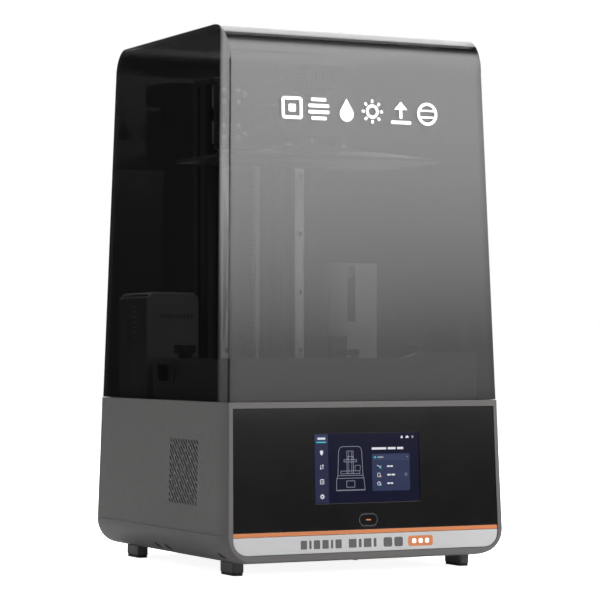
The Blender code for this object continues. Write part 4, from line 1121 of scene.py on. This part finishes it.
# ---------------------------------------------------------------- small fittings
def screw_head(name, centre, axis, sign, radius, height, body, mat="steel", slot="steel"):
    """Button-head socket screw lying on a face."""
    prof = [(0, -1.2), (radius * 0.45, -1.2), (radius * 0.45, 0), (radius, 0), (radius, height * 0.35), (radius * 0.86, height * 0.8), (radius * 0.6, height), (0, height)]
    bm = tube_bm(prof, (0, 0, 0), 2, 32)
    turn = AXES[axis] if sign > 0 else AXES[axis] @ Matrix.Rotation(math.pi, 4, "X")
    bmesh.ops.transform(bm, matrix=Matrix.Translation(Vector(centre)) @ turn, verts=bm.verts)
    obj = to_object(name, bm, M[mat])
    bm2 = tube_bm([(0, height * 0.3), (radius * 0.42, height * 0.3), (radius * 0.42, height + 3), (0, height + 3)], (0, 0, 0), 2, 6)
    bmesh.ops.transform(bm2, matrix=Matrix.Translation(Vector(centre)) @ turn, verts=bm2.verts)
    cut(obj, to_object("t1", bm2, None))
    soften(obj, 0.1, 1, 40)
    return piece(obj, body, slot=slot)


for side, tag in ((-1, "left"), (1, "right")):
    for k in range(5):
        screw_head("rail_screw_%s_%d" % (tag, k), (side * RAIL_X, 75.6, 210.0 + k * 60.0), 1, -1, 2.6, 1.6, body_of("rail_left"))
    for level, z in (("upper", 456.0), ("lower", 420.0)):
        for i, (ddx, ddz) in enumerate(((-8, 5.5), (8, 5.5), (-8, 17.5), (8, 17.5))):
            screw_head("carriage_screw_%s_%s_%d" % (tag, level, i), (side * RAIL_X + ddx, 58.8, z + ddz), 1, -1, 2.3, 1.4, "carriage")
for i, (x, z) in enumerate(((-14, 470), (14, 470), (-14, 430), (14, 430))):
    screw_head("arm_screw_%d" % i, (x * 1.9, 58.8, z), 1, -1, 2.8, 1.7, "carriage")
for i, (x, y) in enumerate(((-50, 76), (50, 76), (-50, 106), (50, 106))):
    screw_head("cap_screw_%d" % i, (x, y, 486.0), 2, 1, 2.8, 1.6, body_of("column_cap"))
for i, (x, z) in enumerate(((38.2, 48.2), (117.8, 48.2), (38.2, 97.8), (117.8, 97.8))):
    screw_head("rear_panel_screw_%d" % i, (x, 146.4, z), 1, 1, 2.4, 1.3, "base")

# column joint covers: the channel behind the screw shows a cable chain's rib plates
ribs = bmesh.new()
for k in range(22):
    merge(ribs, box_bm((-20, -8), (102.0, 105.6), (188.0 + k * 12.0, 197.0 + k * 12.0), 0.8, None, 2))
chain = to_object("cable_guide", ribs, M["plastic"])
soften(chain, 0)
piece(chain, body_of("column_beam"), slot="dark_plastic")

# rear: rating label with plain bars
REAR = Matrix.Translation(Vector((0, HALF_D, SEAM_Z)) * MM) @ Matrix.Rotation(math.pi, 4, "Z") @ Matrix.Rotation(-math.atan(DRAFT_Y), 4, "X")
rating = Drawing(-0.04, thick=0.3)
rating.rect(-28.0, -48.0, 28.0, -18.0, 1.5)
rating.done("rear_label", "label", "base", REAR, slot="strip_silver")
lines = Drawing(-0.08, step=0.001, thick=0.05)
for k, wdt in enumerate((34, 40, 28, 38, 22)):
    lines.rect(-24.0, -24.5 - k * 4.6, -24.0 + wdt, -22.9 - k * 4.6, 0.3)
lines.done("rear_label_bars", "dark_print", "base", REAR, slot="housing_grey")

# ---------------------------------------------------------------- underside: bottom cover screws
for i, (x, y) in enumerate(((-95, -125), (95, -125), (-95, 122), (95, 122), (0, -130), (0, 128))):
    screw_head("bottom_screw_%d" % i, (x, y, 12.0), 2, -1, 3.0, 1.5, "base")

# ---------------------------------------------------------------- camera
cam_data = bpy.data.cameras.new("camera")
cam = link(bpy.data.objects.new("camera", cam_data))
cam.location = (-1.0976, -2.1976, 0.2093)
cam.rotation_euler = (math.radians(90.0), 0.0, -0.4656)
cam_data.sensor_width = 36.0
cam_data.lens = 147.64
cam_data.shift_y = 0.085
cam_data.clip_start = 0.05
cam_data.clip_end = 60.0
scene.camera = cam

# ---------------------------------------------------------------- floor and light
floor_bm = bmesh.new()
bmesh.ops.create_circle(floor_bm, cap_ends=True, segments=96, radius=7000.0)
floor_mat, ft, fp = tree_of("studio_floor")
ft.links.new(ramp(ft, noise(ft, 2.0), (0.86, 0.86, 0.86), (0.88, 0.88, 0.88)), fp.inputs["Base Color"])
fp.inputs["Roughness"].default_value = 0.9
fp.inputs["Specular IOR Level"].default_value = 0.1
# the sweep is lit from below the horizon line, more so away from the machine
fc = ft.nodes.new("ShaderNodeTexCoord")
fl = ft.nodes.new("ShaderNodeVectorMath")
fl.operation = "LENGTH"
ft.links.new(fc.outputs["Object"], fl.inputs[0])
near = ft.nodes.new("ShaderNodeFloatCurve")
fcv = near.mapping.curves[0]
fcv.points[0].location = (0.0, 0.9)
fcv.points[-1].location = (1.0, 1.0)
for u, v in FLOOR_STOPS:
    fcv.points.new(u, v)
near.mapping.update()
fs = ft.nodes.new("ShaderNodeMath")
fs.operation = "MULTIPLY"
fs.inputs[1].default_value = 0.25
ft.links.new(fl.outputs["Value"], fs.inputs[0])
ft.links.new(fs.outputs[0], near.inputs["Value"])
fp.inputs["Emission Color"].default_value = (1.0, 1.0, 1.0, 1.0)
# the floor shows as plain white, yet throws little light up on to the machine
lp = ft.nodes.new("ShaderNodeLightPath")
share = ft.nodes.new("ShaderNodeMapRange")
share.inputs["To Min"].default_value = 0.15
share.inputs["To Max"].default_value = 1.0
ft.links.new(lp.outputs["Is Camera Ray"], share.inputs["Value"])
lit = ft.nodes.new("ShaderNodeMath")
lit.operation = "MULTIPLY"
ft.links.new(near.outputs["Value"], lit.inputs[0])
ft.links.new(share.outputs["Result"], lit.inputs[1])
ft.links.new(lit.outputs[0], fp.inputs["Emission Strength"])
floor = to_object("studio_floor", floor_bm, floor_mat)
floor.location.z = -0.0002


def curve_of(t, stops, value):
    """A float curve through stops, with its top value as a factor after it."""
    r = t.nodes.new("ShaderNodeFloatCurve")
    curve = r.mapping.curves[0]
    top = max(v for _, v in stops)
    pts = [(f, v / top) for f, v in stops]
    curve.points[0].location = pts[0]
    curve.points[-1].location = pts[-1]
    for p in pts[1:-1]:
        curve.points.new(*p)
    for p in curve.points:
        p.handle_type = "VECTOR"
    r.mapping.update()
    t.links.new(value, r.inputs["Value"])
    mul = t.nodes.new("ShaderNodeMath")
    mul.operation = "MULTIPLY"
    mul.inputs[1].default_value = top
    t.links.new(r.outputs["Value"], mul.inputs[0])
    return mul.outputs[0]


def emitter(name, stops, across=((0.0, 1.0), (1.0, 1.0))):
    """A soft light panel whose brightness runs through stops up its height and through across along its width."""
    m = bpy.data.materials.new(name)
    m.use_nodes = True
    t = m.node_tree
    t.nodes.clear()
    out = t.nodes.new("ShaderNodeOutputMaterial")
    e = t.nodes.new("ShaderNodeEmission")
    uv = t.nodes.new("ShaderNodeTexCoord")
    sep = t.nodes.new("ShaderNodeSeparateXYZ")
    t.links.new(uv.outputs["UV"], sep.inputs["Vector"])
    both = t.nodes.new("ShaderNodeMath")
    both.operation = "MULTIPLY"
    t.links.new(curve_of(t, stops, sep.outputs["Y"]), both.inputs[0])
    t.links.new(curve_of(t, across, sep.outputs["X"]), both.inputs[1])
    t.links.new(both.outputs[0], e.inputs["Strength"])
    t.links.new(e.outputs["Emission"], out.inputs["Surface"])
    return m


def panel(name, corners, mat):
    """A light panel from four corners in metres: its foot from the first to the second, its head above them."""
    mesh = bpy.data.meshes.new(name)
    mesh.from_pydata([tuple(c) for c in corners], [], [(0, 1, 2, 3)])
    uv = mesh.uv_layers.new(name="UVMap")
    for loop, at in zip(uv.data, ((0, 0), (1, 0), (1, 1), (0, 1))):
        loop.uv = at
    mesh.materials.append(mat)
    obj = link(bpy.data.objects.new(name, mesh))
    obj.visible_camera = False
    obj.visible_shadow = False
    return obj


def upright(name, azimuth, distance, width, z0, z1, mat):
    """An upright panel facing the machine, its middle in the horizontal direction azimuth (x, y)."""
    d = Vector((azimuth[0], azimuth[1], 0)).normalized()
    side = Vector((-d.y, d.x, 0))
    c = d * distance
    a, b = c - side * width / 2, c + side * width / 2
    return panel(name, [(a.x, a.y, z0), (b.x, b.y, z0), (b.x, b.y, z1), (a.x, a.y, z1)], mat)


# front right card: what the front face mirrors, brighter with height
CARD_H = 2.6
card_stops = ((0.0, 0.25), (0.10, 0.30), (0.19, 0.42), (0.30, 0.75), (0.345, 1.6), (0.365, 1.67), (0.445, 1.9), (0.557, 3.2), (0.671, 4.4), (0.785, 5.3), (0.899, 6.0), (1.06, 6.3), (2.6, 6.6))
upright("front_card", (0.449, -0.893), 3.0, 2.6, 0.0, CARD_H, emitter("front_card", tuple((z / CARD_H, v) for z, v in card_stops)))
# strip that the left front edge mirrors as a soft band, fading towards the rear
STRIP_H = 2.2
strip_stops = ((0.0, 0.3), (0.26, 0.85), (0.35, 1.1), (0.455, 2.2), (0.56, 3.5), (0.665, 4.6), (0.77, 3.9), (2.2, 4.3))
upright("left_strip", (-0.685, 0.728), 2.6, 1.32, 0.0, STRIP_H, emitter("left_strip", tuple((z / STRIP_H, v) for z, v in strip_stops), ((0.0, 0.0), (0.035, 0.13), (0.12, 0.38), (0.245, 0.65), (0.33, 0.85), (0.42, 1.0), (1.0, 1.0))))
# ceiling from the card's head to just in front of the machine, fading out over it
panel(
    "ceiling_front",
    [(-1.0, -2.9, 2.6), (2.6, -2.4, 2.6), (2.6, -0.2, 2.5), (-1.0, -0.2, 2.5)],
    emitter("ceiling_front", ((0.0, 6.6), (0.52, 6.6), (0.64, 5.7), (0.73, 4.2), (0.81, 1.3), (0.89, 0.3), (1.0, 0.1))),
)
# ceiling and screen behind and to the right, which the hood's rounded top mirrors as its bright upper edge
panel("ceiling_rear", [(0.1, 0.36, 2.5), (2.9, 0.36, 2.5), (2.9, 1.9, 2.5), (0.1, 1.9, 2.5)], emitter("ceiling_rear", ((0.0, 5.3), (1.0, 5.6))))
panel("rear_screen", [(0.1, 2.6, 1.1), (3.6, 2.6, 1.1), (3.4, 1.9, 2.5), (0.1, 1.9, 2.5)], emitter("rear_screen", ((0.0, 3.4), (1.0, 5.4))))

world = bpy.data.worlds.new("studio")
scene.world = world
world.use_nodes = True
wt = world.node_tree
wt.nodes.clear()
wout = wt.nodes.new("ShaderNodeOutputWorld")
path = wt.nodes.new("ShaderNodeLightPath")


def backdrop(level):
    n = wt.nodes.new("ShaderNodeBackground")
    n.inputs["Color"].default_value = (1, 1, 1, 1)
    n.inputs["Strength"].default_value = level
    return n.outputs[0]


def choose(fac, low, high):
    n = wt.nodes.new("ShaderNodeMixShader")
    wt.links.new(fac, n.inputs["Fac"])
    wt.links.new(low, n.inputs[1])
    wt.links.new(high, n.inputs[2])
    return n.outputs[0]


# white behind the machine, dim through the tinted hood, nearly dark round it
first = wt.nodes.new("ShaderNodeMath")
first.operation = "LESS_THAN"
first.inputs[1].default_value = 0.5
wt.links.new(path.outputs["Transparent Depth"], first.inputs[0])
seen = choose(first.outputs[0], backdrop(0.04), backdrop(1.0))
wt.links.new(choose(path.outputs["Is Camera Ray"], backdrop(0.02), seen), wout.inputs["Surface"])

scene.view_settings.view_transform = "Standard"
scene.view_settings.look = "None"
